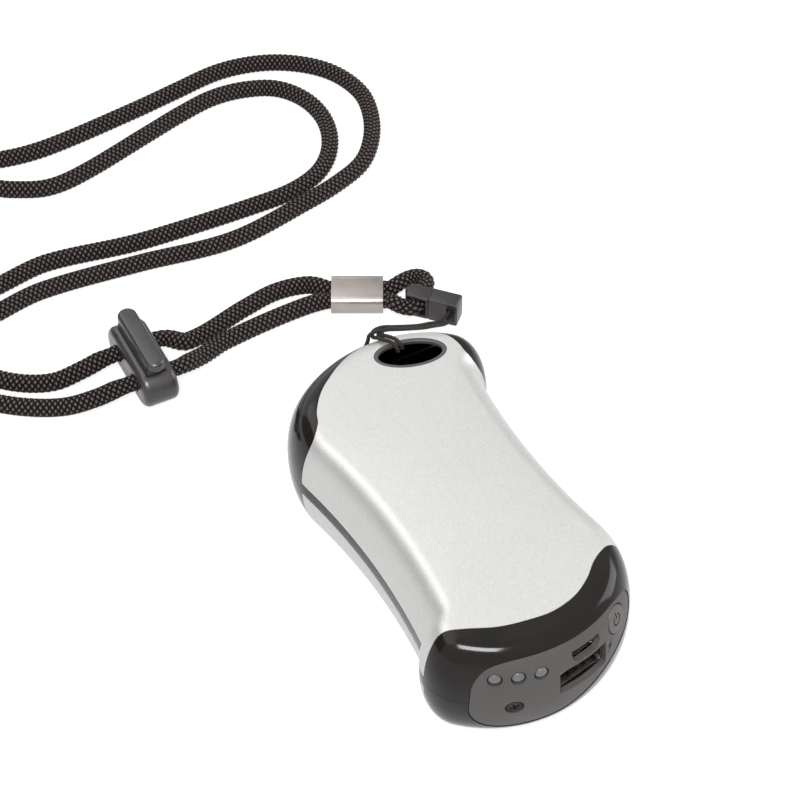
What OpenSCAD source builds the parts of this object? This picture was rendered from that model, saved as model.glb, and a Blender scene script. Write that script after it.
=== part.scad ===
// Rechargeable pocket hand warmer on a cord lanyard, all sizes in mm.
// It lies on its broad face: +Z up, the end with the ports and the button
// towards -Y, the end with the lanyard hole towards +Y, table at z = 0.

/* [Body] */
// Overall length of the warmer
body_length = 107; // [105:0.5:110]
// Overall thickness
body_thick = 30; // [29.5:0.25:31]
// Half width at the two bulging lobes
lobe_half = 30; // [29.5:0.25:31]
// Half width at the two narrow shoulders
shoulder_half = 23.5; // [23.2:0.1:24]
// Half width in the two hollows of the sides
waist_half = 20.6; // [20.2:0.1:21]
// Height of the black strip that parts the two silver skins
strip_height = 3.6; // [3:0.2:4.4]
// Thickness of a silver skin
skin_thick = 1.2; // [1:0.1:1.3]

/* [End panel] */
// Diameter of an indicator lens
lens_diameter = 2.9; // [2.6:0.1:3]
// Angle between two indicator lenses on the end arc
lens_step = 9.4; // [9:0.1:9.8]
// Diameter of the round power button
button_diameter = 6.6; // [6.2:0.1:6.8]
// How far the button goes in
button_travel = 0.5; // [0.3:0.05:0.5]

/* [Lanyard] */
// Diameter of the braided neck cord
neck_cord_diameter = 4.2; // [4:0.05:4.25]
// Diameter of the thin tether through the hole
tether_diameter = 1; // [0.9:0.05:1.05]
// Stroke of the cord lock plunger
lock_stroke = 1; // [0.8:0.1:1.1]

/* [Hidden] */

end_flat = 3;          // how much flatter an end arc is than the lobe's half width
end_r = lobe_half + end_flat;
lobe_r = 23;           // corner radius at a lobe
shoulder_r = 9.8;      // corner radius at a shoulder
hollow_r = 1.67;       // radius between a shoulder and the hollow beside it
edge_in = 6.8;         // how far the flat faces stand in from the outline
edge_pow = 2.2;        // squareness of the rounded edge
far_dome = 0.05;       // extra rounding of the hole end
mid = body_thick / 2;
frame_in = 3.0;        // inner wall of the frame under the outline
fit = 0.1;             // clearance between neighbouring shell parts
cav_top = body_thick - frame_in;
cap_c = [3.3, -4.7];   // where the triangles of a flat face meet

hole_in = 12.1;        // from the far end to the middle of the lanyard hole
hole_c = [5.1, body_length / 2 - hole_in];
hole_turn = -9;
hole_a = 8.8;
hole_b = 4.65;
rim = 0.95;

near_room = 18.4;      // from the near end to the cells, for the board and ports
far_room = 23.4;       // from the far end to the cells, for the lanyard hole
cell_gap = 0.1;        // half the gap between the two cells
pack_turn = 8;         // the cells lie askew to follow the sides
pack_c = [0, (near_room - far_room) / 2];
side_room = 2.2;       // from the hollow of a side to the cells
cell_r = (waist_half - side_room) / 2;
cell_l = body_length - near_room - far_room;
cell_x = cell_r + cell_gap;

// places on the near end: angle on the end arc, depth under the outline, height
end_c = [0, -(body_length / 2 - end_r)];
usb_a_at = 18.6;
usb_a_z = body_thick - 12.7;
usb_a_half = [6.6, 2.94];
board_z = usb_a_z + usb_a_half[1] + 0.06;
board_t = 1.2;
board_top = board_z + board_t;
board_in = 5.2;
micro_at = 20.2;
micro_z = board_top + 1.7;
led_first = -20;
led_z = board_top + 1.1;
button_at = 40;
button_z = board_top + 1.5;
button_in = 5;
screw_at = -11.9;
screw_z = mid - 1.8;
screw_in = 1.1;
posts = [[-15, body_length/2 - 16.5], [-17.5, 12 - body_length/2], [21, 17.5 - body_length/2]];
post_r = 2.3;
boss_r = 1.2;
bosses = [[-12.2, 10.9], [16.9, 12.9]];  // x and distance from the near end

black = [0.16, 0.15, 0.15];
grey = [0.34, 0.33, 0.33];
silver = [0.8, 0.8, 0.79];
metal = [0.75, 0.74, 0.72];

function unit(v) = v / norm(v);
function arc(c, r, a0, a1, n, s = 1) = [for (i = [0:n-1])
  let (a = a0 + (a1 - a0) * i / n) [c[0] + r*cos(a), c[1] + r*sin(a), s*cos(a), s*sin(a)]];
function corner_y(a, r) = body_length/2 - end_r + sqrt(pow(end_r - r, 2) - pow(a - r, 2));
// where a side is hollowest, counted from the middle
waist_y = corner_y(shoulder_half, shoulder_r)
  - sqrt(2*(shoulder_half - waist_half)*(hollow_r + shoulder_r) - pow(shoulder_half - waist_half, 2));
function waist_rad(a, r, yc) = let (d = abs(yc - waist_y), w = a - waist_half)
  (w*w + d*d) / (2*w) - r;
// right side from the near tip to the far tip: x, y and outward normal
function side() = let (
    y1 = corner_y(lobe_half, lobe_r), y2 = corner_y(shoulder_half, shoulder_r),
    w1 = waist_rad(lobe_half, lobe_r, -y1), w2 = waist_rad(shoulder_half, shoulder_r, y2),
    b1 = atan2(-y1 - waist_y, lobe_half - lobe_r - waist_half - w1) + 360,
    b2 = atan2(y2 - waist_y, shoulder_half - shoulder_r - waist_half - w2),
    e1 = atan2(-y1 - end_c[1], lobe_half - lobe_r),
    e2 = atan2(y2 + end_c[1], shoulder_half - shoulder_r))
  concat(arc(end_c, end_r, -90, e1, 4), arc([lobe_half - lobe_r, -y1], lobe_r, e1, b1 - 180, 6),
    arc([waist_half + w1, waist_y], w1, b1, 180, 5, -1),
    arc([waist_half + w2, waist_y], w2, 180, b2, 2, -1),
    arc([shoulder_half - shoulder_r, y2], shoulder_r, b2 - 180, e2, 6),
    arc(-end_c, end_r, e2, 90, 4));
rim_pts = let (s = side()) concat(s, [for (p = s) -p]);
// one outline point pushed in by d, at profile angle t (0 mid height, 90 flat face)
function edge_g(t) = 1 - pow(cos(min(abs(t), 90)), 2 / edge_pow);
function edge_h(t) = sign(t) * pow(sin(min(abs(t), 90)), 2 / edge_pow);
function skin_pt(p, d, t) = let (o = d + edge_in * edge_g(t), y = p[1] - p[3]*o)
  [p[0] - p[2]*o, y * (y > 0 ? 1 - far_dome*edge_g(t) : 1), mid + (mid - d) * edge_h(t)];
function ang_of(z, d) = let (h = (z - mid) / (mid - d)) sign(h) * asin(pow(abs(h), edge_pow/2));
// ring heights for a half shell that starts at height z0
function ring_angles(z0, d) = let (a = ang_of(z0, d)) [for (k = [0:5]) a + (90*sign(z0 - mid) - a) * k / 5];

function cap(z) = [cap_c[0], cap_c[1], z];

// half shell between depth d0 and d1, from height z0 to the face on its side
module half_shell(z0, d0, d1) {
  n = len(rim_pts); up = z0 > mid; m = 6;
  oa = ring_angles(z0, d0); ia = ring_angles(z0, d1);
  pts = concat([for (a = oa) for (p = rim_pts) skin_pt(p, d0, a)], [cap(up ? body_thick - d0 : d0)],
    [for (a = ia) for (p = rim_pts) skin_pt(p, d1, a)], [cap(up ? body_thick - d1 : d1)]);
  o = n*m + 1;
  f = concat(
    [for (k = [0:m-2]) for (i = [0:n-1]) let (j = (i+1) % n) each
      [[k*n+i, (k+1)*n+i, (k+1)*n+j], [k*n+i, (k+1)*n+j, k*n+j]]],
    [for (i = [0:n-1]) [(m-1)*n+i, n*m, (m-1)*n+(i+1)%n]],
    [for (k = [0:m-2]) for (i = [0:n-1]) let (j = (i+1) % n) each
      [[o+k*n+i, o+(k+1)*n+j, o+(k+1)*n+i], [o+k*n+i, o+k*n+j, o+(k+1)*n+j]]],
    [for (i = [0:n-1]) [o+(m-1)*n+i, o+(m-1)*n+(i+1)%n, o+n*m]],
    [for (i = [0:n-1]) let (j = (i+1) % n) each [[i, j, o+j], [i, o+j, o+i]]]);
  polyhedron(pts, up ? f : [for (t = f) [t[0], t[2], t[1]]]);
}

// the room inside the frame, everywhere d under the outer surface
module room(d) {
  n = len(rim_pts);
  tt = [for (k = [-5:5]) 85 * k / 5]; m = len(tt);
  pts = concat([for (a = tt) for (p = rim_pts) skin_pt(p, d, a)], [[0, 0, d], [0, 0, body_thick - d]]);
  polyhedron(pts, concat(
    [for (k = [0:m-2]) for (i = [0:n-1]) let (j = (i+1) % n) each
      [[k*n+i, (k+1)*n+i, (k+1)*n+j], [k*n+i, (k+1)*n+j, k*n+j]]],
    [for (i = [0:n-1]) [(m-1)*n+i, n*m+1, (m-1)*n+(i+1)%n]],
    [for (i = [0:n-1]) [(i+1)%n, n*m, i]]));
}

// patch of the near end between depths d0 and d1
module end_patch(d0, d1, t0 = -80, t1 = 80, na = 12, nb = 13) {
  n = len(rim_pts);
  pp = [for (i = [-na:nb]) rim_pts[(i + n) % n]]; w = len(pp);
  tt = [for (k = [0:10]) t0 + (t1 - t0) * k / 10]; m = len(tt);
  pts = concat([for (a = tt) for (p = pp) skin_pt(p, d0, a)], [for (a = tt) for (p = pp) skin_pt(p, d1, a)]);
  o = w*m;
  quads = concat(
    [for (k = [0:m-2]) for (i = [0:w-2]) [k*w+i, (k+1)*w+i, (k+1)*w+i+1, k*w+i+1]],
    [for (k = [0:m-2]) for (i = [0:w-2]) [o+k*w+i, o+k*w+i+1, o+(k+1)*w+i+1, o+(k+1)*w+i]],
    [for (i = [0:w-2]) each [[i, i+1, o+i+1, o+i], [o+(m-1)*w+i, o+(m-1)*w+i+1, (m-1)*w+i+1, (m-1)*w+i]]],
    [for (k = [0:m-2]) each [[k*w, o+k*w, o+(k+1)*w, (k+1)*w],
      [(k+1)*w+w-1, o+(k+1)*w+w-1, o+k*w+w-1, k*w+w-1]]]);
  polyhedron(pts, [for (q = quads) each [[q[0], q[1], q[2]], [q[0], q[2], q[3]]]]);
}

// smooth closed curve through hand placed points
function cr(a, b, c, d, t) = 0.5 * (2*b + (c - a)*t + (2*a - 5*b + 4*c - d)*t*t + (3*b - a - 3*c + d)*t*t*t);
function closed(p, k = 3) = let (n = len(p)) [for (i = [0:n-1]) for (j = [0:k-1])
  cr(p[(i-1+n)%n], p[i], p[(i+1)%n], p[(i+2)%n], j/k)];
function inset(q, d) = let (n = len(q)) [for (i = [0:n-1])
  let (t = unit(q[(i+1)%n] - q[(i-1+n)%n])) q[i] + d * [-t[1], t[0]]];

// plan of a silver skin, counterclockwise from the near left corner: x, and
// the distance from the near end, then from the far end
near_cut = [[-34, 9.5], [-26, 12.7], [-22.4, 13.6], [-19, 14.3], [-14, 13.2], [-7, 11.1],
  [0, 10.5], [6, 10.8], [12, 13], [16.5, 16.5], [20, 20.5], [23.5, 23.1], [27, 24.3], [36, 26.5]];
far_cut = [[36, 23.5], [25, 20], [19.5, 19.1], [17.8, 15.5], [16.5, 9.5], [14, 1.5], [10, -8.5],
  [-8, -8.5], [-10.5, 3.5], [-12.5, 9], [-16, 13.2], [-19.5, 17.5], [-22.4, 22], [-23.4, 25.9],
  [-26.4, 29.9], [-31, 30.9], [-42, 32.5]];
skin_plan = closed(concat([for (p = near_cut) [p[0], p[1] - body_length/2]], [[44, 0]],
  [for (p = far_cut) [p[0], body_length/2 - p[1]]], [[-46, -10], [-42, 11.5 - body_length/2]]));
// face of the end panel: angle on the end arc and height above the table, then
// angle and distance under the upper face
panel_low = [[-29, 10.5], [-24.3, 6.6], [-16.5, 4.5], [-3.5, 4.6], [8.7, 5.4], [18.6, 7.8],
  [29, 11], [37.3, 13.3], [46.7, 16.2]];
panel_high = [[52.6, 10], [49.2, 5.8], [38.4, 3.2], [21.3, 2.4], [0, 2.4], [-14, 3], [-22.8, 4.8],
  [-28.2, 9], [-29.4, 14.5]];
panel_face = closed(concat([for (p = panel_low) [end_r*sin(p[0]), p[1]]],
  [for (p = panel_high) [end_r*sin(p[0]), body_thick - p[1]]]));

module ellipse(a, b, z0, z1, n = 40) translate([hole_c[0], hole_c[1], z0]) rotate(hole_turn)
  linear_extrude(z1 - z0) polygon([for (i = [0:n-1]) [a*cos(360*i/n), b*sin(360*i/n)]]);
module lanyard_bore() ellipse(hole_a + fit, hole_b + fit, -1, body_thick + 1);
// frame on the near end: depth d under the outline, local +Y inwards
module at_end(a, d, z) translate([end_c[0], end_c[1], z]) rotate(a) translate([0, d - end_r, 0]) children();
module rod(r, l0, l1) rotate([90, 0, 0]) translate([0, 0, l0]) cylinder(h = l1 - l0, r = r, $fn = 48);
module cut_face(d) rotate([90, 0, 0]) translate([0, 0, -end_c[1]]) linear_extrude(60)
  polygon(inset(panel_face, d));

module skin_bed(up) intersection() {
  half_shell(mid + (up ? 1 : -1) * (strip_height/2 - fit), -0.6, skin_thick + fit);
  translate([0, 0, -1]) linear_extrude(body_thick + 2) polygon(inset(skin_plan, -fit));
}
module skin(up) difference() {
  intersection() {
    half_shell(mid + (up ? 1 : -1) * strip_height/2, 0, skin_thick);
    translate([0, 0, -1]) linear_extrude(body_thick + 2) polygon(skin_plan);
  }
  lanyard_bore();
}
module top_skin() color(silver) skin(true);
module bottom_skin() color(silver) difference() {
  skin(false);
  tether_groove();
}
// hollow under the far rim that lets the tether pass below the body
module tether_groove() translate([hole_c[0] - 1.4, hole_c[1] + 2, -1]) rotate(20)
  translate([-1.9, 0, 0]) cube([3.8, hole_in, 3.3]);

module upper_frame() color(black) difference() {
  union() {
    difference() {
      half_shell(mid + 0.05, 0, frame_in);
      skin_bed(true);
    }
    for (p = posts) translate([p[0], p[1], mid + 0.05])
      cylinder(h = cav_top + 0.4 - mid, r = post_r, $fn = 48);
  }
  lanyard_bore();
  for (p = posts) translate([p[0], p[1], mid - 1]) cylinder(h = 7, r = 1, $fn = 32);
  intersection() {
    end_patch(-0.6, 1.6 + fit);
    cut_face(-fit);
  }
  intersection() {
    cut_face(1.8);
    translate([-20, end_c[1] - end_r - 6, mid - 1]) cube([50, 24, body_thick]);
  }
  at_end(button_at, 9, button_z) rod(4.4, 0, 7);
}
module lower_frame() color(black) difference() {
  union() {
    difference() {
      half_shell(mid - 0.05, 0, frame_in);
      skin_bed(false);
    }
    for (p = posts) translate([p[0], p[1], frame_in - 0.4])
      cylinder(h = mid - 0.05 - frame_in + 0.4, r = post_r, $fn = 48);
    for (p = bosses) translate([p[0], p[1] - body_length/2, frame_in - 0.4])
      cylinder(h = board_z - 0.02 - frame_in + 0.4, r = boss_r, $fn = 48);
    at_end(screw_at, 9, screw_z) intersection() {
      rod(1.7, 0, 7.2);
      translate([-5, -9, -5]) cube([10, 10, 6.75]);
    }
  }
  lanyard_bore();
  tether_groove();
  for (p = posts) {
    translate([p[0], p[1], -1]) cylinder(h = mid + 2, r = 1.1, $fn = 32);
    translate([p[0], p[1], -1]) cylinder(h = 3.9, r = 1.95, $fn = 48);
  }
  intersection() {
    end_patch(-0.6, 1.6 + fit);
    cut_face(-fit);
  }
  at_end(usb_a_at, -2, usb_a_z - usb_a_half[1] - 1.2)
    translate([-usb_a_half[0] - 0.6, 0, 0]) cube([2*usb_a_half[0] + 1.2, 9, 4]);
  at_end(screw_at, 9, screw_z) rod(0.95, -1, 10);
}

module eyelet(z0, z1, flange_z) color(black) difference() {
  union() {
    ellipse(hole_a - 0.35, hole_b - 0.35, z0, z1);
    ellipse(hole_a, hole_b, flange_z, flange_z + 0.9);
  }
  ellipse(hole_a - rim, hole_b - rim, z0 - 1, z1 + 1);
}
module upper_eyelet() eyelet(mid + 0.05, body_thick, body_thick - 0.9);
module lower_eyelet() difference() {
  eyelet(0, mid - 0.05, 0);
  tether_groove();
}

module end_panel() color(grey) difference() {
  intersection() {
    end_patch(0.15, 1.6);
    cut_face(0);
  }
  for (k = [0:2]) at_end(led_first + k*lens_step, 5, led_z) rod(lens_diameter/2 + 0.2, 0, 8);
  at_end(usb_a_at, -3, usb_a_z) translate([-usb_a_half[0] - 0.2, 0, -usb_a_half[1] - 0.66])
    cube([2*usb_a_half[0] + 0.4, 9, 2*usb_a_half[1] + 1.32]);
  at_end(micro_at, -3, micro_z) micro_cut(4.1, 1.7, 9);
  at_end(button_at, button_in, button_z) rod(button_diameter/2 + 0.15, 0, 8);
  at_end(screw_at, screw_in + 0.2, screw_z) rod(2.2, 0, 3);
  at_end(screw_at, screw_in + 3.9, screw_z) rod(1.15, 0, 8);
}
// the D shaped outline of the small socket, along local +Y
module micro_cut(w, h, l) rotate([-90, 0, 0]) linear_extrude(l)
  polygon([[-w, -h], [w, -h], [w, 0.1*h], [w - 0.75*h, h], [-w + 0.75*h, h], [-w, 0.1*h]]);

module panel_screw() color(metal) at_end(screw_at, screw_in, screw_z) difference() {
  union() {
    rod(1.95, -0.15, 0.65);
    rod(0.9, -6, 0);
  }
  for (a = [0, 90]) rotate([0, a + 20, 0]) translate([-1.25, -1, -0.25]) cube([2.5, 0.75, 0.5]);
}

module power_button() color(grey) {
  intersection() {
    at_end(button_at, button_in, button_z) rod(button_diameter/2, 1.6, 8);
    end_patch(0.05, 4.2, 0, 75);
  }
  at_end(button_at, button_in, button_z) {
    rod(button_diameter/2, 0.6, 2.2);
    rod(1.2, -0.2, 1.6);
    translate([-button_diameter/2 - 0.6, -1.2, -1.45]) cube([button_diameter + 1.2, 0.6, 2.9]);
  }
}
module switch_stem() color([0.1, 0.1, 0.1]) at_end(button_at, button_in, button_z) rod(0.9, -1.4, -0.25);
module switch_body() color([0.72, 0.72, 0.7]) at_end(button_at, button_in, button_z)
  difference() {
    translate([-3, 0.9, board_top - button_z + 0.02]) cube([6, 3.4, 3.3]);
    rod(1, -2, 2);
  }

module light_pipe() color([0.75, 0.76, 0.76]) {
  for (k = [0:2]) at_end(led_first + k*lens_step, 5, led_z) rotate([90, 0, 0])
    rotate_extrude($fn = 40) polygon(concat([[0, 0.4], [lens_diameter/2, 0.4]],
      [for (a = [0:15:90]) [lens_diameter/2 * cos(a), 3.7 + 0.55*sin(a)]]));
  for (k = [0:1]) at_end(led_first + (k + 0.5)*lens_step, 5, led_z)
    translate([-2.6, -1.6, -0.8]) cube([5.2, 1, 1.6]);
}
module indicator_leds() color([0.9, 0.9, 0.8]) for (k = [0:2])
  at_end(led_first + k*lens_step, 6, board_top + 0.02) translate([-0.8, -0.4, 0]) cube([1.6, 1, 1.7]);

// board and wires, placed from the near end
board_l = near_room - 3.7;
module from_end(z) translate([0, -body_length/2, z]) children();
module main_board() color([0.1, 0.32, 0.16]) translate([0, 0, board_z])
  linear_extrude(board_t) intersection() {
  translate(end_c) circle(r = end_r - board_in, $fn = 96);
  translate([0, -body_length/2]) union() {
    translate([-14.4, 0]) square([36.6, board_l]);
    translate([12, board_l - 2]) square([6.3, 4.3]);
  }
}
module board_parts() color([0.12, 0.12, 0.13]) from_end(board_top + 0.02) {
  translate([-11.5, 9.5, 0]) cube([5, 4, 1]);
  translate([-4.5, 8.9, 0]) cube([5.6, 5.2, 2.6]);
  translate([-8.2, 9.1, -board_t - 1.44]) cube([5, 5, 1.4]);
  translate([6, 10.9, 0]) cube([3.2, 1.8, 1.2]);
}

module in_usb_a() at_end(usb_a_at, 2, usb_a_z) children();
module usb_a_shell() color(metal) in_usb_a() difference() {
  translate([-usb_a_half[0], 0, -usb_a_half[1]]) cube([2*usb_a_half[0], 12, 2*usb_a_half[1]]);
  translate([0.35 - usb_a_half[0], -1, 0.35 - usb_a_half[1]])
    cube([2*usb_a_half[0] - 0.7, 14, 2*usb_a_half[1] - 0.7]);
}
module usb_a_tongue() color([0.9, 0.9, 0.88]) in_usb_a() {
  translate([0.45 - usb_a_half[0], 9.4, 0.45 - usb_a_half[1]])
    cube([2*usb_a_half[0] - 0.9, 2.1, 2*usb_a_half[1] - 0.9]);
  translate([1 - usb_a_half[0], 0.7, 0.05]) cube([2*usb_a_half[0] - 2, 9, 1.9]);
}
module usb_a_contacts() color([0.85, 0.7, 0.3]) in_usb_a()
  for (x = [-3.5, -1, 1, 3.5]) translate([x - 0.5, 1.2, -0.17]) cube([1, 7, 0.2]);
module micro_usb_shell() color(metal) at_end(micro_at, 2.6, micro_z) difference() {
  micro_cut(3.75, 1.36, 5);
  translate([0, -1, 0]) micro_cut(3.45, 1.08, 5.6);
}
module micro_usb_tongue() color([0.12, 0.12, 0.12]) at_end(micro_at, 2.6, micro_z) {
  translate([0, 3.3, 0]) micro_cut(3.4, 1.03, 1.2);
  translate([-1.9, 0.5, -0.1]) cube([3.8, 3, 0.7]);
}

module in_pack() translate([pack_c[0], pack_c[1], mid]) rotate(pack_turn) children();
module cell(x) in_pack() {
  translate([x, cell_l/2 - 1, 0]) rotate([90, 0, 0]) cylinder(h = cell_l - 1, r = cell_r, $fn = 96);
  translate([x, cell_l/2, 0]) rotate([90, 0, 0]) cylinder(h = 1.5, r = 4, $fn = 64);
}
module battery_cell_left() color([0.2, 0.45, 0.7]) cell(-cell_x);
module battery_cell_right() color([0.2, 0.45, 0.7]) cell(cell_x);
module battery_straps() color(metal) in_pack() for (y = [-cell_l/2 - 0.27, cell_l/2 + 0.02])
  translate([-1.5*cell_r, y, -3]) cube([3*cell_r, 0.25, 6]);
cradle_half = 2*cell_r - 3;
cradle_l = cell_l - 18;
module battery_cradle() color([0.25, 0.25, 0.26]) intersection() {
  in_pack() difference() {
    translate([-cradle_half, -cradle_l/2, frame_in + 0.5 - mid])
      cube([2*cradle_half, cradle_l, mid - frame_in - 3.5]);
    for (x = [-cell_x, cell_x]) translate([x, cell_l/2, 0]) rotate([90, 0, 0])
      cylinder(h = cell_l, r = cell_r + 0.05, $fn = 96);
  }
  room(frame_in + 0.3);
}
// heater films, between the frame's flat faces and the cells
film_t = 0.43;
film_half = [waist_half - 7.8, cell_l/2 - 5];
module film(z) in_pack() translate([-film_half[0], -film_half[1], z - mid])
  cube([2*film_half[0], 2*film_half[1], film_t]);
module top_heater() color([0.75, 0.45, 0.15]) film(cav_top - 0.02 - film_t);
module bottom_heater() color([0.75, 0.45, 0.15]) film(frame_in + 0.02);
module heat_sensor() color([0.3, 0.3, 0.32]) in_pack()
  translate([-1.5, -6, cav_top - film_t - 1.32 - mid]) cube([3, 5, 1.28]);

module frame_screws() color(metal) for (p = posts) translate([p[0], p[1], 0]) {
  difference() {
    union() {
      translate([0, 0, 1.55]) cylinder(h = 1.3, r = 1.85, $fn = 48);
      translate([0, 0, 2]) cylinder(h = mid + 2.5, r = 0.92, $fn = 32);
    }
    for (a = [0, 90]) rotate(a) translate([-1.2, -0.22, 1]) cube([2.4, 0.44, 1.1]);
  }
}

// tube swept along points with a frame carried from ring to ring
module tube(pts, r, sides) {
  n = len(pts);
  tg = [for (i = [0:n-1]) unit(pts[min(i+1, n-1)] - pts[max(i-1, 0)])];
  u0 = unit(cross(tg[0], abs(tg[0][2]) < 0.8 ? [0, 0, 1] : [1, 0, 0]));
  us = [for (i = 0, u = u0; i < n; i = i + 1, u = let (t = tg[min(i, n-1)]) unit(u - (u*t)*t)) u];
  ring = [for (i = [0:n-1]) let (t = tg[i], u = unit(us[i] - (us[i]*t)*t), v = cross(t, u))
    for (k = [0:sides-1]) pts[i] + r*(cos(360*k/sides)*u + sin(360*k/sides)*v)];
  polyhedron(concat(ring, [pts[0], pts[n-1]]), concat(
    [for (i = [0:n-2]) for (k = [0:sides-1]) let (a = i*sides + k, b = i*sides + (k+1)%sides) each
      [[a, a + sides, b + sides], [a, b + sides, b]]],
    [for (k = [0:sides-1]) each [[n*sides, k, (k+1)%sides],
      [n*sides + 1, (n-1)*sides + (k+1)%sides, (n-1)*sides + k]]]));
}
function smooth(p, k) = let (n = len(p)) concat([for (i = [0:n-2]) for (j = [0:k-1])
  cr(p[max(i-1, 0)], p[i], p[i+1], p[min(i+2, n-1)], j/k)], [p[n-1]]);

module lead_wires() from_end(board_z) {
  color([0.75, 0.1, 0.08])
    tube(smooth([[-9.5, 15, -5.3], [-9.8, 13.3, -4.3], [-9.6, 12.7, -2.3], [-9.4, 12.6, -0.55]], 3), 0.5, 8);
  color([0.08, 0.08, 0.08])
    tube(smooth([[8, 17.5, 4.1], [5, 15.5, 4.6], [3.4, 13.5, 3.9], [2.6, 12.5, 1.75]], 3), 0.5, 8);
}

// crimp sleeve, buckle and cord lock each have their own frame on the table
cord_r = neck_cord_diameter / 2;
abreast = cord_r + 0.05;  // half distance of the two strands in the sleeve
sleeve_wall = 0.6;
sleeve_in = [abreast + cord_r + 0.2, cord_r + 0.1];
crimp_c = [9.35, 90.0, sleeve_in[1] + sleeve_wall + 0.05];
crimp_turn = -21;
crimp_l = 13.4;
buckle_c = [26.5, 78.5, 3.65];
buckle_turn = -40;
lock_c = [-50, 84.6, 0.05];
lock_turn = 5.5;
lane = 5.6;            // half distance of the two strands in the lock
lane_z = 5.3;
function turned(a, x, y, z = 0) = [x*cos(a) - y*sin(a), x*sin(a) + y*cos(a), z];
function in_lock(x, y) = lock_c + turned(lock_turn, x, y, lane_z);
function at_crimp(x, y) = crimp_c + turned(crimp_turn, x, y);
function flat(p, z = 2.2) = [for (q = p) [q[0], q[1], z]];

neck_route = concat(
  [at_crimp(-0.15, abreast), at_crimp(-6.9, abreast)],
  [[-1.6, 98.2, 2.4], [-10, 98.9, 2.2], [-19, 96.3, 2.2], [-36.5, 90, 2.5]],
  [in_lock(7, lane), in_lock(-7, lane)], [[-64.5, 88.8, 3.8]],
  flat([[-72.5, 88.8], [-81, 91.8], [-88, 98], [-90.8, 106.5], [-87, 114], [-78.5, 117.7],
    [-66, 121.2], [-40, 121.8], [-14, 121.4], [10, 128.5],
    [20, 132.4], [28.5, 137.6], [34.4, 146], [37.8, 156], [38.2, 165.5], [34, 175.6], [26.2, 182.8],
    [16, 187], [4, 187.6], [-10, 184], [-23, 180.4], [-48.5, 174.5], [-60, 173.8],
    [-84, 176.8], [-93, 175.4], [-96.6, 170.8], [-92.6, 166.4], 
    [-72, 165.6], [-63, 161.2], [-54, 158.6], [-44, 160.6], [-22, 169.8],
    [-11, 174.4], [-1, 177.6], [8.5, 177.7], [17, 174.8], [22.8, 167.6], [24.9, 157.6],
    [22.6, 147], [16.6, 138.6], [7.5, 133.8], [-4.5, 131.9], [-28, 130],
    [-40, 129.6], [-62, 130.7], [-73, 128], [-84, 123.8], [-93.6, 117.4],
    [-98.4, 107], [-96.4, 95.5], [-89, 88], [-80.5, 82.6], [-72, 79.6]]),
  [[-64, 78.4, 3.6], in_lock(-7, -lane), in_lock(7, -lane), [-35.4, 82.8, 3.4]],
  flat([[-27.5, 86.8], [-8, 90.7]], 2.3),
  [at_crimp(-6.9, -abreast), at_crimp(6.9, -abreast), at_crimp(8.4, -abreast)],
  flat([[17.3, 82.6], [18.7, 80.9], [21.05, 79.8], [23.35, 81.3], [25.2, 83.8], [26.7, 85.6], [27.5, 87.3],
    [27.1, 89], [25.6, 90], [23.6, 90.1], [20.9, 89.4]], 3.6),
  [at_crimp(8.4, abreast), at_crimp(6.9, abreast), at_crimp(0.15, abreast)]);

module neck_cord() color([0.14, 0.12, 0.11]) tube(neck_route, cord_r, 8);

// centre line of the doubled tether: buckle, over the rim, down the hole, under and up outside
tether_run = [[29.9, 75.2, 3.65], [28.2, 73.2, 3.65], [25.8, 71.2, 4.4], [21.6, 68.6, 7.6], [17, 65, 12],
  [12.2, 61.3, 17], [7.8, 58, 21.6], [3.8, 55.6, 25.2], [0.9, 53.4, 27.2], [-0.1, 51, 28.3],
  [0.2, 49.2, 29.9], [1.2, 47.2, 30.9], [2.5, 45.3, 31.15], [3.3, 44.15, 30], [3.7, 44, 27],
  [3.9, 43.9, 20], [3.9, 43.9, 12], [3.9, 43.9, 4.5], [3.8, 44.4, 1.7], [3.3, 45.8, 0.9],
  [2.2, 48.6, 0.9], [1.3, 50.6, 2], [0.7, 52.5, 4.8], [0.3, 53.8, 9.5], [0, 54.3, 15],
  [-0.1, 54, 19.6], [-0.2, 53.1, 23.2], [-0.2, 51.7, 26]];
strand = 0.72;
spread = [0.85, 1.05, 1.3, 1.5, 1.7, 1.9, 1.95];
function lane_of(p, s) = let (n = len(p)) [for (i = [0:n-1])
  let (d = p[min(i+1, n-1)] - p[max(i-1, 0)],
    w = i < 1 ? [0, 0, 1] : i < 2 ? unit([d[1], -d[0], norm(d)]) : i < 13 ? unit([d[1], -d[0], 0])
      : i < 21 ? [-0.9, -0.44, 0] : [-1, 0, 0])
  p[i] + s * (i > 20 ? spread[i - 21] : strand) * w];
tether_route = let (a = lane_of(tether_run, 1), b = lane_of(tether_run, -1), n = len(a))
  concat(a, [[-2.15, 51.1, 27.4], [-1.6, 51.3, 29], [-0.1, 51.2, 29.8], [1.4, 51.3, 29], [1.75, 51.1, 27.4]],
    [for (i = [n-1:-1:0]) b[i]]);
module tether() color([0.12, 0.1, 0.1]) tube(tether_route, tether_diameter/2, 8);

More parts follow.
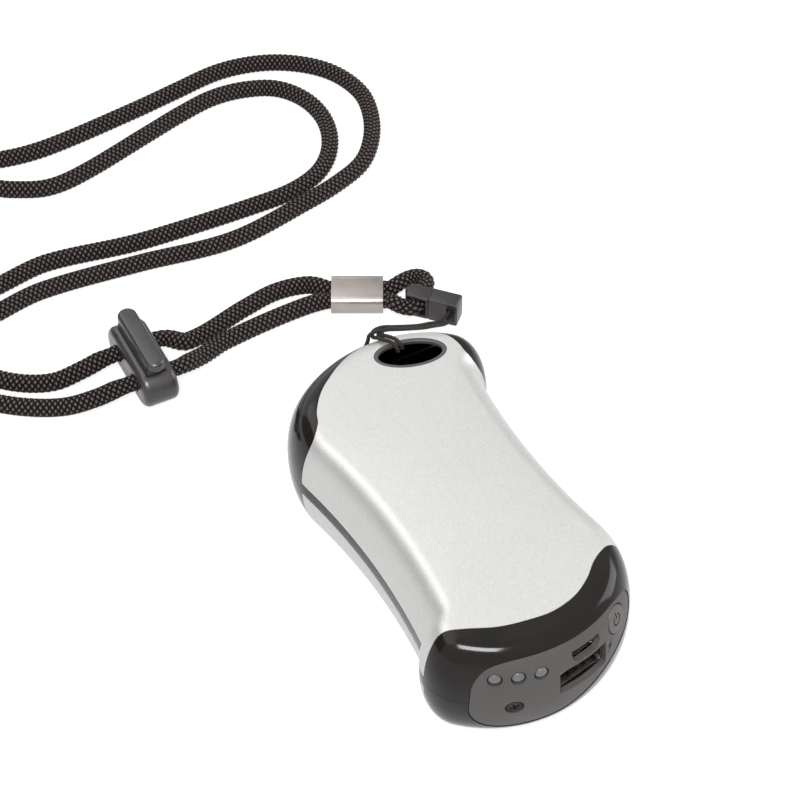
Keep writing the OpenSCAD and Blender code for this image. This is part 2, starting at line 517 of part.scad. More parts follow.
module in_buckle() translate(buckle_c) rotate(buckle_turn) children();
eye = [3.85, 1.85];      // where the tether goes through the socket: place and length
module buckle_socket() color([0.1, 0.1, 0.1]) in_buckle() difference() {
  union() {
    translate([-1.2, -2.3, -3.6]) cube([6.9, 4.6, 7.2]);
    translate([5.7, 0, 0]) rotate([90, 0, 0]) intersection() {
      translate([0, 0, -2.3]) cylinder(h = 4.6, r = 3.6, $fn = 64);
      translate([-1, -4, -3]) cube([1.9, 8, 6]);
    }
  }
  translate([-2, -1.65, -2.65]) cube([5.3, 3.3, 5.3]);
  translate([eye[0], -3, -2]) cube([eye[1], 6, 4]);
  translate([-2, 1, -1.1]) cube([4.4, 2, 2.2]);
}
module buckle_plug() color([0.1, 0.1, 0.1]) in_buckle() {
  difference() {
    translate([-7.3, -2.3, -3.6]) cube([6, 4.6, 7.2]);
    translate([-8, -3, -2.65]) cube([6.05, 6, 5.3]);
  }
  translate([-7.3, 0, -3.6]) cylinder(h = 7.2, r = 0.8, $fn = 48);
  translate([-1.5, -1.55, -2.55]) cube([4.6, 3.1, 5.1]);
  translate([1.2, 1.4, -1]) cube([1.1, 1.15, 2]);
}
module crimp_sleeve() color(metal) translate(crimp_c) rotate(crimp_turn)
  rotate([90, 0, 90]) translate([0, 0, -crimp_l/2]) linear_extrude(crimp_l) difference() {
    sleeve_face(sleeve_in[0] + sleeve_wall, sleeve_in[1] + sleeve_wall, 1.7);
    sleeve_face(sleeve_in[0], sleeve_in[1], 1.2);
  }
module sleeve_face(w, h, r) union() {
  square([2*w - 2*r, 2*h], center = true);
  square([2*w, 2*h - 2*r], center = true);
  for (x = [-1, 1], y = [-1, 1]) translate([x*(w - r), y*(h - r)]) circle(r = r, $fn = 48);
}

module in_lock_frame() translate(lock_c) rotate(lock_turn) children();
lock_r = 5.2;
module lock_outline(x0, x1) rotate([90, 0, 90]) translate([0, 0, x0]) linear_extrude(x1 - x0) union() {
  translate([-7.9, 0]) square([15.8, 2*lock_r]);
  for (y = [-7.9, 7.9]) translate([y, lock_r]) circle(r = lock_r, $fn = 64);
}
slot_z = 1.1;
hole_r = cord_r + 0.3;
module cord_lock_body() color([0.15, 0.14, 0.14]) in_lock_frame() difference() {
  lock_outline(-4.7, 4.7);
  translate([-2.6, -9.7, slot_z]) cube([5.2, 19.4, 12]);
  for (s = [-1, 1]) translate([-6, s*lane, lane_z]) rotate([0, 90, 0]) cylinder(h = 12, r = hole_r, $fn = 48);
}
// the plunger hangs by two webs under the cords and is pushed up by the spring
module cord_lock_plunger() color([0.15, 0.14, 0.14]) in_lock_frame() {
  low = slot_z + 0.1 + lock_stroke;
  head = 2*lock_r + lock_stroke + 0.1;
  difference() {
    translate([-2.5, -9.5, low]) cube([5, 19, head + 0.2 - low]);
    for (s = [-1, 1]) translate([-3, s*lane, lane_z + 0.1]) {
      for (z = [0, lock_stroke]) translate([0, 0, z]) rotate([0, 90, 0])
        cylinder(h = 6, r = hole_r, $fn = 48);
      translate([0, -hole_r, 0]) cube([6, 2*hole_r, lock_stroke]);
    }
    translate([-3, -2.4, low - 1]) cube([6, 4.8, 5.5]);
  }
  translate([0, 0, head]) union() {
    translate([-2.5, -8.7, 0]) cube([5, 17.4, 3.2]);
    for (s = [-1, 1]) translate([0, s*8.7, 0]) cylinder(h = 3.2, r = 2.5, $fn = 64);
  }
}
module cord_lock_spring() color(metal) in_lock_frame() {
  z0 = slot_z + 0.35;
  h = lock_stroke + 4.6 - 0.7;
  n = 44;
  tube([for (i = [0:n]) [1.9*cos(i*32), 1.9*sin(i*32), z0 + h*i/n]], 0.25, 6);
}

top_skin();
bottom_skin();
upper_frame();
lower_frame();
upper_eyelet();
lower_eyelet();
end_panel();
panel_screw();
power_button();
switch_stem();
switch_body();
light_pipe();
indicator_leds();
main_board();
board_parts();
usb_a_shell();
usb_a_tongue();
usb_a_contacts();
micro_usb_shell();
micro_usb_tongue();
battery_cell_left();
battery_cell_right();
battery_straps();
battery_cradle();
top_heater();
bottom_heater();
heat_sensor();
lead_wires();
frame_screws();
tether();
buckle_socket();
buckle_plug();
crimp_sleeve();
neck_cord();
cord_lock_body();
cord_lock_plunger();
cord_lock_spring();
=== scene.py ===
import math
import bmesh
import bpy
from mathutils import Matrix, Vector


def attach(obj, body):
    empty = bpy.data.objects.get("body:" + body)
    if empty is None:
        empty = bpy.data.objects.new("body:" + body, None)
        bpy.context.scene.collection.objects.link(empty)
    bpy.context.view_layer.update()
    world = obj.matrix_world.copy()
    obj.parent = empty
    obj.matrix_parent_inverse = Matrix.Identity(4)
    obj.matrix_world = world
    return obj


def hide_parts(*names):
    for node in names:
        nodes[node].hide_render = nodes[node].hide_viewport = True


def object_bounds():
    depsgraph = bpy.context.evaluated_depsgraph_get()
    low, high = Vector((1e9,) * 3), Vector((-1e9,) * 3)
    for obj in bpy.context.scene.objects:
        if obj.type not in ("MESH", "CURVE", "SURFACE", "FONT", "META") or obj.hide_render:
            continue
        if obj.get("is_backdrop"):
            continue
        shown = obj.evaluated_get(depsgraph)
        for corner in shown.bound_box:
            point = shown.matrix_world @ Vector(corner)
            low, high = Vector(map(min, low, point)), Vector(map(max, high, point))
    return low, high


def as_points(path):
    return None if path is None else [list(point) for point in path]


# Rechargeable pocket hand warmer on a cord lanyard, lying on a white table.
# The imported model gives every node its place; each section below dresses one
# piece or one group of like pieces, in the order in which they are put together.
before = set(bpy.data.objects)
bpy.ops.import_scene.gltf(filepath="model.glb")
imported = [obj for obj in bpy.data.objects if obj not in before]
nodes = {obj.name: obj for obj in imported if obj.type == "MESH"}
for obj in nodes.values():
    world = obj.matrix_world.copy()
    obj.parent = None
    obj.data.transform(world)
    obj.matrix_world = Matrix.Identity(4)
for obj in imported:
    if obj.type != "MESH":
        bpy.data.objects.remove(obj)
cad_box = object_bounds()
MM = 0.001


# Camera. It stands to the near left of the warmer and looks down on it, so the
# end panel faces it and the cord runs out of the picture on the left.
turn, tilt = math.radians(-21.10), math.radians(47.27)
reach, sideways, upward = 0.6228, -0.01261, 0.03880
focal_pixels = 2627.7
back = Vector((math.sin(turn) * math.cos(tilt), -math.cos(turn) * math.cos(tilt), math.sin(tilt)))
right = Vector((math.cos(turn), math.sin(turn), 0))
above = back.cross(right)
bpy.ops.object.camera_add(location=back * reach + right * sideways + above * upward)
camera = bpy.context.object
camera.rotation_euler = Matrix((right, above, back)).transposed().to_euler()
camera.data.sensor_width = 36
camera.data.lens = 36 * focal_pixels / 800
camera.data.clip_start = 0.05
bpy.context.scene.camera = camera


# Neck cord: one length of round braided polyester, about 4 mm thick. It starts
# in the crimp sleeve, makes the neck loop, comes back through the sleeve, goes
# round the bar of the buckle and ends in the sleeve again.
cord_width = 4.2
crimp_centre, crimp_turn = Vector((9.35, 90.0, 2.85)), math.radians(-21)
abreast = 2.15
lock_centre, lock_turn = Vector((-50, 84.6, 0.05)), math.radians(5.5)
lane, lane_height = 5.6, 5.3


def turned(centre, angle, x, y, z=0.0):
    return centre + Vector((x * math.cos(angle) - y * math.sin(angle),
                            x * math.sin(angle) + y * math.cos(angle), z))


def at_crimp(x, y):
    return turned(crimp_centre, crimp_turn, x, y)


def in_lock(x, y):
    return turned(lock_centre, lock_turn, x, y, lane_height)


def flat(points, height=2.2):
    return [Vector((x, y, height)) for x, y in points]


neck_route = (
    [at_crimp(-0.15, abreast), at_crimp(-6.9, abreast)]
    + [Vector(p) for p in [(-1.6, 98.2, 2.4), (-10, 98.9, 2.2), (-19, 96.3, 2.2), (-36.5, 90, 2.5)]]
    + [in_lock(7, lane), in_lock(-7, lane), Vector((-64.5, 88.8, 3.8))]
    + flat([(-72.5, 88.8), (-81, 91.8), (-88, 98), (-90.8, 106.5), (-87, 114), (-78.5, 117.7), (-66, 121.2),
            (-40, 121.8), (-14, 121.4), (10, 128.5), (20, 132.4), (28.5, 137.6), (34.4, 146), (37.8, 156),
            (38.2, 165.5), (34, 175.6), (26.2, 182.8), (16, 187), (4, 187.6), (-10, 184), (-23, 180.4),
            (-48.5, 174.5), (-60, 173.8), (-84, 176.8), (-93, 175.4), (-96.6, 170.8), (-92.6, 166.4),
            (-72, 165.6), (-63, 161.2), (-54, 158.6), (-44, 160.6), (-22, 169.8), (-11, 174.4), (-1, 177.6),
            (8.5, 177.7), (17, 174.8), (22.8, 167.6), (24.9, 157.6), (22.6, 147), (16.6, 138.6), (7.5, 133.8),
            (-4.5, 131.9), (-28, 130), (-40, 129.6), (-62, 130.7), (-73, 128), (-84, 123.8), (-93.6, 117.4),
            (-98.4, 107), (-96.4, 95.5), (-89, 88), (-80.5, 82.6), (-72, 79.6)])
    + [Vector((-64, 78.4, 3.6)), in_lock(-7, -lane), in_lock(7, -lane), Vector((-35.4, 82.8, 3.4))]
    + flat([(-27.5, 86.8), (-8, 90.7)], 2.3)
    + [at_crimp(-6.9, -abreast), at_crimp(6.9, -abreast), at_crimp(8.4, -abreast)]
    + flat([(17.3, 82.6), (18.7, 80.9), (21.05, 79.8), (23.35, 81.3), (25.2, 83.8), (26.7, 85.6), (27.5, 87.3),
            (27.1, 89), (25.6, 90), (23.6, 90.1), (20.9, 89.4)], 3.6)
    + [at_crimp(8.4, abreast), at_crimp(6.9, abreast), at_crimp(0.15, abreast)]
)


def smooth_line(points, step):
    """Even points, step apart, on a smooth curve through given ones."""
    fine = []
    for i in range(len(points) - 1):
        a, b, c, d = (points[max(i - 1, 0)], points[i], points[i + 1], points[min(i + 2, len(points) - 1)])
        gap = (c - b).length
        out_slope = ((c - a) / max((c - a).length, 1e-6)) * gap
        in_slope = ((d - b) / max((d - b).length, 1e-6)) * gap
        count = max(4, int(gap / step * 3))
        for k in range(count):
            t = k / count
            fine.append(b * (2 * t**3 - 3 * t**2 + 1) + out_slope * (t**3 - 2 * t**2 + t)
                        + c * (3 * t**2 - 2 * t**3) + in_slope * (t**3 - t**2))
    fine.append(points[-1])
    total = sum((q - p).length for p, q in zip(fine, fine[1:]))
    even = total / round(total / step)
    line, walked = [fine[0]], 0.0
    for p, q in zip(fine, fine[1:]):
        span = (q - p).length
        while span > 0 and walked + span >= even * len(line) - 1e-9 and len(line) < round(total / step):
            line.append(p.lerp(q, (even * len(line) - walked) / span))
        walked += span
    return line + [fine[-1]], total


def braid_height(around, along):
    """Height of a plain braid, 0 in its gaps and 1 on a yarn; both in yarns."""
    a, b = around + along, around - along
    if (math.floor(a) + math.floor(b)) % 2:
        a, b = b, a
    return math.sin(math.pi * (a % 1)) ** 0.8 * math.sin(math.pi * (b % 1)) ** 0.5


def cord_mesh(name, route, width, strands, pitch, relief, fuller=None):
    """A braided cord swept along a route, all in mm; its UV is turns and pitches."""
    line, length = smooth_line(route, pitch / 4)
    sides, last = strands * 4, len(line) - 1
    mesh = bmesh.new()
    uv = mesh.loops.layers.uv.new("UVMap")
    rings, side = [], None
    for i, point in enumerate(line):
        ahead = (line[min(i + 1, last)] - line[max(i - 1, 0)]).normalized()
        side = side or ahead.cross(Vector((0, 0, 1))).normalized()
        side = (side - ahead * side.dot(ahead)).normalized()
        other = ahead.cross(side)
        more = fuller(point) if fuller else 0
        middle = point + Vector((0, 0, more / 2))
        ring = []
        for k in range(sides):
            angle = 2 * math.pi * k / sides
            radius = (width + more) / 2 + relief * (braid_height(k / 4, i / 4) - 0.75)
            outward = side * math.cos(angle) + other * math.sin(angle)
            ring.append(mesh.verts.new((middle + radius * outward) * MM))
        rings.append(ring)
    for i in range(last):
        for k in range(sides):
            j = (k + 1) % sides
            face = mesh.faces.new((rings[i][k], rings[i][j], rings[i + 1][j], rings[i + 1][k]))
            face.smooth = True
            spots = [(k, i), (k + 1, i), (k + 1, i + 1), (k, i + 1)]
            for loop, (around, along) in zip(face.loops, spots):
                loop[uv].uv = (around / sides, along / 4)
    for ring, place in ((rings[0][::-1], 0), (rings[-1], last / 4)):
        cap = mesh.faces.new(ring)
        for loop in cap.loops:
            loop[uv].uv = (0.5, place)
    data = bpy.data.meshes.new(name)
    mesh.normal_update()
    mesh.to_mesh(data)
    mesh.free()
    piece = bpy.data.objects.new(name, data)
    bpy.context.collection.objects.link(piece)
    return piece, [p * MM for p in line], length * MM


def math_chain(tree):
    """Small adding machine for node trees: op(name, a, b) returns a socket."""
    def op(kind, a, b=0.0, c=0.0):
        node = tree.nodes.new("ShaderNodeMath")
        node.operation = kind
        for socket, value in zip(node.inputs, (a, b, c)):
            if isinstance(value, (int, float)):
                socket.default_value = value
            else:
                tree.links.new(value, socket)
        return node.outputs[0]
    return op


fibres_in_yarn = 6


def shader_group(name, numbers_in, numbers_out):
    """An empty node group that takes a Vector and numbers and gives numbers."""
    tree = bpy.data.node_groups.new(name, "ShaderNodeTree")
    tree.interface.new_socket("Vector", in_out="INPUT", socket_type="NodeSocketVector")
    for way, names in (("INPUT", numbers_in), ("OUTPUT", numbers_out)):
        for number in names:
            tree.interface.new_socket(number, in_out=way, socket_type="NodeSocketFloat")
    return tree, tree.nodes.new("NodeGroupInput"), tree.nodes.new("NodeGroupOutput")


def braid_group():
    """Node group: a plain braid on a cord's own UV, in turns and pitches."""
    tree, source, sink = shader_group("braided cover", ["Strands"], ["Height", "Fibre"])
    op = math_chain(tree)
    split = tree.nodes.new("ShaderNodeSeparateXYZ")
    tree.links.new(source.outputs["Vector"], split.inputs[0])
    around = op("MULTIPLY", split.outputs[0], source.outputs["Strands"])
    a, b = op("ADD", around, split.outputs[1]), op("SUBTRACT", around, split.outputs[1])
    under = op("FLOORED_MODULO", op("ADD", op("FLOOR", a), op("FLOOR", b)), 2)

    def pick(first, second):
        return op("ADD", op("MULTIPLY", first, op("SUBTRACT", 1, under)), op("MULTIPLY", second, under))
    across, run = pick(op("FRACT", a), op("FRACT", b)), pick(op("FRACT", b), op("FRACT", a))
    yarn = op("POWER", op("SINE", op("MULTIPLY", across, math.pi)), 0.8)
    hump = op("POWER", op("SINE", op("MULTIPLY", run, math.pi)), 0.5)
    tree.links.new(op("MULTIPLY", yarn, hump), sink.inputs["Height"])
    fibre = op("FRACT", op("MULTIPLY", across, fibres_in_yarn))
    tree.links.new(op("ABSOLUTE", op("SUBTRACT", fibre, 0.5)), sink.inputs["Fibre"])
    return tree


braided_cover = braid_group()


def new_material(name):
    material = bpy.data.materials.new(name)
    material.use_nodes = True
    tree = material.node_tree
    return material, tree, tree.nodes["Principled BSDF"]


def ramp(tree, factor, low, high, start=0.0, end=1.0):
    node = tree.nodes.new("ShaderNodeValToRGB")
    node.color_ramp.elements[0].position, node.color_ramp.elements[1].position = start, end
    node.color_ramp.elements[0].color = (*low, 1)
    node.color_ramp.elements[1].color = (*high, 1)
    tree.links.new(factor, node.inputs[0])
    return node.outputs[0]


def bump(tree, shader, height, distance, strength=1.0):
    node = tree.nodes.new("ShaderNodeBump")
    node.inputs["Distance"].default_value = distance
    node.inputs["Strength"].default_value = strength
    tree.links.new(height, node.inputs["Height"])
    tree.links.new(node.outputs[0], shader.inputs["Normal"])


def braid_with_painted_gap_shade(name, strands, depth, dark, light):
    material, tree, shader = new_material(name)
    place = tree.nodes.new("ShaderNodeUVMap")
    place.uv_map = "UVMap"
    cover = tree.nodes.new("ShaderNodeGroup")
    cover.node_tree = braided_cover
    cover.inputs["Strands"].default_value = strands
    tree.links.new(place.outputs[0], cover.inputs["Vector"])
    op = math_chain(tree)
    # The colour ramp follows the braid's height, so the gaps between yarns are painted near black: painted shade in
    # the gaps, while the yarn tops carry the cord's own dark brown.
    tone = op("SUBTRACT", cover.outputs["Height"], op("MULTIPLY", cover.outputs["Fibre"], 0.3))
    tree.links.new(ramp(tree, tone, dark, light, 0.4, 0.95), shader.inputs["Base Color"])
    shader.inputs["Roughness"].default_value = 0.62
    shader.inputs["Specular IOR Level"].default_value = 0.15
    bump(tree, shader, cover.outputs["Height"], depth)
    return material


def dress(piece, material, slot, body, *replaced):
    """Gives a finished piece its name, its material and the body it rides on."""
    piece.name = piece.name.replace(" ", "-")
    piece.data.materials.clear()
    piece.data.materials.append(material)
    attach(piece, body)
    if replaced:
        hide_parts(*replaced)


loose_extra, loose_after = 0.5, 3
sleeve_reach, lock_reach, loop_centre, loop_reach = (7.2, 5.5), (7.2, 13), Vector((23.5, 85)), 7


def outside(point, centre, angle, reach):
    """How far a point lies outside a turned rectangle, in plan."""
    x, y = turned(Vector(), -angle, *(point - centre).xy).xy
    return max(abs(x) - reach[0], abs(y) - reach[1])


def fuller(point):
    """Extra width of the cord where no hole, sleeve or bar pinches it."""
    free = min(outside(point, crimp_centre, crimp_turn, sleeve_reach),
               outside(point, lock_centre, lock_turn, lock_reach),
               (point.xy - loop_centre).length - loop_reach)
    return loose_extra * min(max(free / loose_after, 0), 1)


neck_strands, neck_pitch = 7, 1.45
neck_cord, neck_line, neck_length = cord_mesh(
    "neck cord", neck_route, cord_width, neck_strands, neck_pitch, 0.32, fuller)
# The first colour is painted shade for the braid's gaps, the second the yarns' own colour.
cord_cover = braid_with_painted_gap_shade("braided cord", neck_strands, 0.0005, (0.002, 0.0015, 0.0014), (0.115, 0.094, 0.086))
dress(neck_cord, cord_cover, "black_cord", "keeper", "neck_cord")


# Tether: a thin round cord, doubled. It is looped through the lanyard hole and
# over its own two strands, and its ends are held in the eye of the buckle.
tether_width = 1.0
tether_run = [Vector(p) for p in [
    (29.9, 75.2, 3.65), (28.2, 73.2, 3.65), (25.8, 71.2, 4.4), (21.6, 68.6, 7.6), (17, 65, 12), (12.2, 61.3, 17),
    (7.8, 58, 21.6), (3.8, 55.6, 25.2), (0.9, 53.4, 27.2), (-0.1, 51, 28.3), (0.2, 49.2, 29.9), (1.2, 47.2, 30.9),
    (2.5, 45.3, 31.15), (3.3, 44.15, 30), (3.7, 44, 27), (3.9, 43.9, 20), (3.9, 43.9, 12), (3.9, 43.9, 4.5),
    (3.8, 44.4, 1.7), (3.3, 45.8, 0.9), (2.2, 48.6, 0.9), (1.3, 50.6, 2), (0.7, 52.5, 4.8), (0.3, 53.8, 9.5),
    (0, 54.3, 15), (-0.1, 54, 19.6), (-0.2, 53.1, 23.2), (-0.2, 51.7, 26)]]
strand = 0.72
spread = [0.85, 1.05, 1.3, 1.5, 1.7, 1.9, 1.95]
knot = [(-2.15, 51.1, 27.4), (-1.6, 51.3, 29), (-0.1, 51.2, 29.8), (1.4, 51.3, 29), (1.75, 51.1, 27.4)]


def tether_lane(side):
    lane_points, last = [], len(tether_run) - 1
    for i, point in enumerate(tether_run):
        ahead = tether_run[min(i + 1, last)] - tether_run[max(i - 1, 0)]
        if i == 0:
            across = Vector((0, 0, 1))
        elif i == 1:
            across = Vector((ahead.y, -ahead.x, ahead.length)).normalized()
        elif i < 13:
            across = Vector((ahead.y, -ahead.x, 0)).normalized()
        elif i < 21:
            across = Vector((-0.9, -0.44, 0))
        else:
            across = Vector((-1, 0, 0))
        lane_points.append(point + across * side * (spread[i - 21] if i > 20 else strand))
    return lane_points


tether_route = tether_lane(1) + [Vector(p) for p in knot] + tether_lane(-1)[::-1]
tether_strands, tether_pitch = 4, 0.8
tether, tether_line, tether_length = cord_mesh(
    "tether braid", tether_route, tether_width, tether_strands, tether_pitch, 0.08)
# The first colour is painted shade for the braid's gaps, the second the yarns' own colour.
tether_cover = braid_with_painted_gap_shade("thin braid", tether_strands, 0.0001, (0.006, 0.005, 0.0045), (0.075, 0.060, 0.055))
dress(tether, tether_cover, "black_cord", "warmer", "tether")


# Crimp sleeve: a strip of nickel plated steel, closed round the two strands of
# the neck cord. Its two long rims meet on the upper face, near the far edge.
sleeve_half = (6.7, 5.05, 2.8)
sleeve_wall = 0.6


def clear_selection():
    if bpy.context.object and bpy.context.object.mode != "OBJECT":
        bpy.ops.object.mode_set(mode="OBJECT")
    bpy.ops.object.select_all(action="DESELECT")


def hold(piece):
    """Makes one piece the only selected and the active one."""
    clear_selection()
    piece.select_set(True)
    bpy.context.view_layer.objects.active = piece


def settle(name):
    """Names the new primitive and moves its place and size into its mesh."""
    piece = bpy.context.object
    piece.name = name
    bpy.ops.object.transform_apply(location=True, rotation=True, scale=True)
    return piece


def block(name, low, high):
    """A box between two corners, in mm."""
    clear_selection()
    centre = [(a + b) / 2 * MM for a, b in zip(low, high)]
    bpy.ops.mesh.primitive_cube_add(size=1, location=centre, scale=[(b - a) * MM for a, b in zip(low, high)])
    return settle(name)


def drum(name, radius, low, high, axis="Z", sides=64, place=(0, 0, 0)):
    """A cylinder from low to high along an axis, in mm."""
    clear_selection()
    spin = {"X": (0, math.pi / 2, 0), "Y": (math.pi / 2, 0, 0), "Z": (0, 0, 0)}[axis]
    middle = Vector(place)
    middle["XYZ".index(axis)] += (low + high) / 2
    bpy.ops.mesh.primitive_cylinder_add(vertices=sides, radius=radius * MM, depth=(high - low) * MM,
                                        location=middle * MM, rotation=spin)
    return settle(name)


def work(piece, kind, **settings):
    """Adds one modifier, sets it and applies it."""
    hold(piece)
    step = piece.modifiers.new(kind.lower(), kind)
    for name, value in settings.items():
        setattr(step, name, value)
    bpy.ops.object.modifier_apply(modifier=step.name)


def round_edges(piece, width, segments=3, angle=35):
    work(piece, "BEVEL", width=width * MM, segments=segments, limit_method="ANGLE",
         angle_limit=math.radians(angle), use_clamp_overlap=True)


def cut(piece, tool, operation="DIFFERENCE"):
    if len(piece.data.vertices) > 3000:
        work(piece, "TRIANGULATE")
        work(tool, "TRIANGULATE")
    work(piece, "BOOLEAN", object=tool, operation=operation, solver="EXACT")
    bpy.data.objects.remove(tool)


def smooth(piece, angle=32):
    hold(piece)
    bpy.ops.object.shade_smooth_by_angle(angle=math.radians(angle))


def set_down(piece, centre, angle):
    """Moves a piece from its own frame to its place on the table."""
    piece.data.transform(Matrix.Translation(Vector(centre) * MM) @ Matrix.Rotation(angle, 4, "Z"))


def bevel_where(piece, chosen, width, segments):
    """Bevels the edges that the test picks by their middle and direction."""
    hold(piece)
    bpy.ops.object.mode_set(mode="EDIT")
    mesh = bmesh.from_edit_mesh(piece.data)
    for edge in mesh.edges:
        ends = [v.co / MM for v in edge.verts]
        edge.select = chosen((ends[0] + ends[1]) / 2, (ends[1] - ends[0]).normalized())
    bmesh.update_edit_mesh(piece.data)
    bpy.ops.mesh.select_mode(type="EDGE")
    bpy.ops.mesh.bevel(offset=width * MM, segments=segments, affect="EDGES")
    bpy.ops.object.mode_set(mode="OBJECT")


def grain_group():
    """Node group: fine grain and slow clouds on the piece's own coordinates."""
    tree, source, sink = shader_group("grain and clouds", ["Grain", "Clouds"], ["Grain", "Clouds"])
    for name, detail in (("Grain", 2.0), ("Clouds", 3.0)):
        noise = tree.nodes.new("ShaderNodeTexNoise")
        noise.inputs["Detail"].default_value = detail
        noise.inputs["Roughness"].default_value = 0.6
        tree.links.new(source.outputs["Vector"], noise.inputs["Vector"])
        tree.links.new(source.outputs[name], noise.inputs["Scale"])
        tree.links.new(noise.outputs[0], sink.inputs[name])
    return tree


grain_and_clouds = grain_group()


def surface(name, dark, light, rough, grain_size=0.3, grain_depth=0.01, cloud_size=12.0, metallic=0.0,
            specular=0.5, coat=0.0, stretch=(1, 1, 1), tone_from="Clouds", **constant):
    """A material with two tones, a range of roughness and a fine grain (mm)."""
    material, tree, shader = new_material(name)
    place, detail = tree.nodes.new("ShaderNodeTexCoord"), tree.nodes.new("ShaderNodeGroup")
    spread_out = tree.nodes.new("ShaderNodeMapping")
    spread_out.inputs["Scale"].default_value = stretch
    detail.node_tree = grain_and_clouds
    detail.inputs["Grain"].default_value = 1 / (grain_size * MM)
    detail.inputs["Clouds"].default_value = 1 / (cloud_size * MM)
    tree.links.new(place.outputs["Object"], spread_out.inputs["Vector"])
    tree.links.new(spread_out.outputs[0], detail.inputs["Vector"])
    tree.links.new(ramp(tree, detail.outputs[tone_from], dark, light, 0.3, 0.7), shader.inputs["Base Color"])
    worn = tree.nodes.new("ShaderNodeMapRange")
    worn.inputs["From Min"].default_value, worn.inputs["From Max"].default_value = 0.3, 0.7
    worn.inputs["To Min"].default_value, worn.inputs["To Max"].default_value = rough
    tree.links.new(detail.outputs["Clouds"], worn.inputs["Value"])
    tree.links.new(worn.outputs[0], shader.inputs["Roughness"])
    shader.inputs["Metallic"].default_value = metallic
    shader.inputs["Specular IOR Level"].default_value = specular
    shader.inputs["Coat Weight"].default_value = coat
    for key, value in constant.items():
        shader.inputs[key.replace("_", " ").title()].default_value = value
    if grain_depth:
        bump(tree, shader, detail.outputs["Grain"], grain_depth * MM)
    return material


sleeve = block("crimp sleeve", [-v for v in sleeve_half], sleeve_half)
bevel_where(sleeve, lambda middle, way: abs(way.x) > 0.9, 1.7, 10)
hold(sleeve)
bpy.ops.object.mode_set(mode="EDIT")
shape = bmesh.from_edit_mesh(sleeve.data)
for face in shape.faces:
    face.select = abs(face.normal.x) > 0.9
bmesh.update_edit_mesh(sleeve.data)
bpy.ops.mesh.select_mode(type="FACE")
bpy.ops.mesh.delete(type="FACE")
bpy.ops.object.mode_set(mode="OBJECT")
work(sleeve, "SOLIDIFY", thickness=sleeve_wall * MM, offset=-1)
cut(sleeve, block("rim gap", (-7, 3.05, 2.3), (7, 3.17, 3.2)))
round_edges(sleeve, 0.14, 3)
smooth(sleeve)
set_down(sleeve, crimp_centre, crimp_turn)
satin_nickel = surface("satin nickel", (0.34, 0.31, 0.29), (0.41, 0.375, 0.35), (0.34, 0.44), grain_size=0.25,
                       grain_depth=0.006, cloud_size=6, metallic=1.0)
dress(sleeve, satin_nickel, "nickel", "keeper", "crimp_sleeve")


# Buckle: a small two part clip of black nylon. The tether is held in the eye of
# the socket, and the plug, with the cord round its bar, pulls out to the left.
buckle_centre, buckle_turn = Vector((26.5, 78.5, 3.65)), math.radians(-40)
buckle_nylon = surface("buckle nylon", (0.010, 0.008, 0.0075), (0.016, 0.013, 0.012), (0.30, 0.42),
                       grain_size=0.2,
                       grain_depth=0.008, cloud_size=3, specular=0.55)
socket = block("buckle socket", (-1.2, -2.3, -3.6), (6.6, 2.3, 3.6))
bevel_where(socket, lambda middle, way: middle.x > 6.5 and abs(way.y) > 0.9, 0.6, 4)
cut(socket, block("mouth", (-2, -1.65, -2.65), (3.3, 1.65, 2.65)))
cut(socket, block("tether eye", (3.85, -3, -2), (5.7, 3, 2)))
cut(socket, block("latch slot", (-2, 1, -1.1), (2.4, 3, 1.1)))
round_edges(socket, 0.22, 3)
smooth(socket)
set_down(socket, buckle_centre, buckle_turn)
dress(socket, buckle_nylon, "black_nylon", "warmer", "buckle_socket")

plug = block("buckle plug", (-7.3, -2.3, -3.6), (-1.3, 2.3, 3.6))
cut(plug, block("cord window", (-8, -3, -2.65), (-1.95, 3, 2.65)))
cut(plug, block("prong", (-1.5, -1.55, -2.55), (3.1, 1.55, 2.55)), "UNION")
cut(plug, block("latch", (1.2, 1.2, -1), (2.3, 2.55, 1)), "UNION")
round_edges(plug, 0.25, 3)
cut(plug, drum("bar", 0.8, -3.55, 3.55, place=(-7.3, 0, 0), sides=40), "UNION")
smooth(plug)
set_down(plug, buckle_centre, buckle_turn)
dress(plug, buckle_nylon, "black_nylon", "keeper", "buckle_plug")


# Cord lock: a rounded body of satin black plastic with two cord holes, and a
# plunger that a spring holds up so that it pinches both strands.
lock_round = 5.2
lock_straight = 7.9
lock_thick = 4.7
plunger_stroke = 1.0
cord_hole = cord_width / 2 + 0.3
lock_plastic = surface("lock plastic", (0.020, 0.019, 0.018), (0.030, 0.028, 0.027), (0.24, 0.36),
                       grain_size=0.35,
                       grain_depth=0.006, cloud_size=5, specular=0.6)


def drawn_apart(piece, way, distance):
    """Parts a round piece along its middle, so that it becomes a stadium."""
    hold(piece)
    bpy.ops.object.mode_set(mode="EDIT")
    bpy.ops.mesh.select_mode(type="VERT")
    for side in (1, -1):
        mesh = bmesh.from_edit_mesh(piece.data)
        for vert in mesh.verts:
            vert.select = vert.co[way] * side > (-1e-6 if side > 0 else 1e-6)
        mesh.select_flush_mode()
        bmesh.update_edit_mesh(piece.data)
        shift = [0, 0, 0]
        shift[way] = side * distance * MM
        bpy.ops.transform.translate(value=shift)
    bpy.ops.object.mode_set(mode="OBJECT")


lock_body = drum("cord lock body", lock_round, -lock_thick, lock_thick, axis="X", sides=72)
drawn_apart(lock_body, 1, lock_straight)
lock_body.data.transform(Matrix.Translation((0, 0, lock_round * MM)))
round_edges(lock_body, 1.7, 7)
cut(lock_body, block("plunger slot", (-2.6, -9.7, 1.1), (2.6, 9.7, 12)))
for side in (-1, 1):
    cut(lock_body, drum("cord hole", cord_hole, -6, 6, axis="X", place=(0, side * lane, lane_height)))
round_edges(lock_body, 0.35, 3, 50)
smooth(lock_body)
set_down(lock_body, lock_centre, lock_turn)
dress(lock_body, lock_plastic, "lock_plastic", "cord_lock", "cord_lock_body")

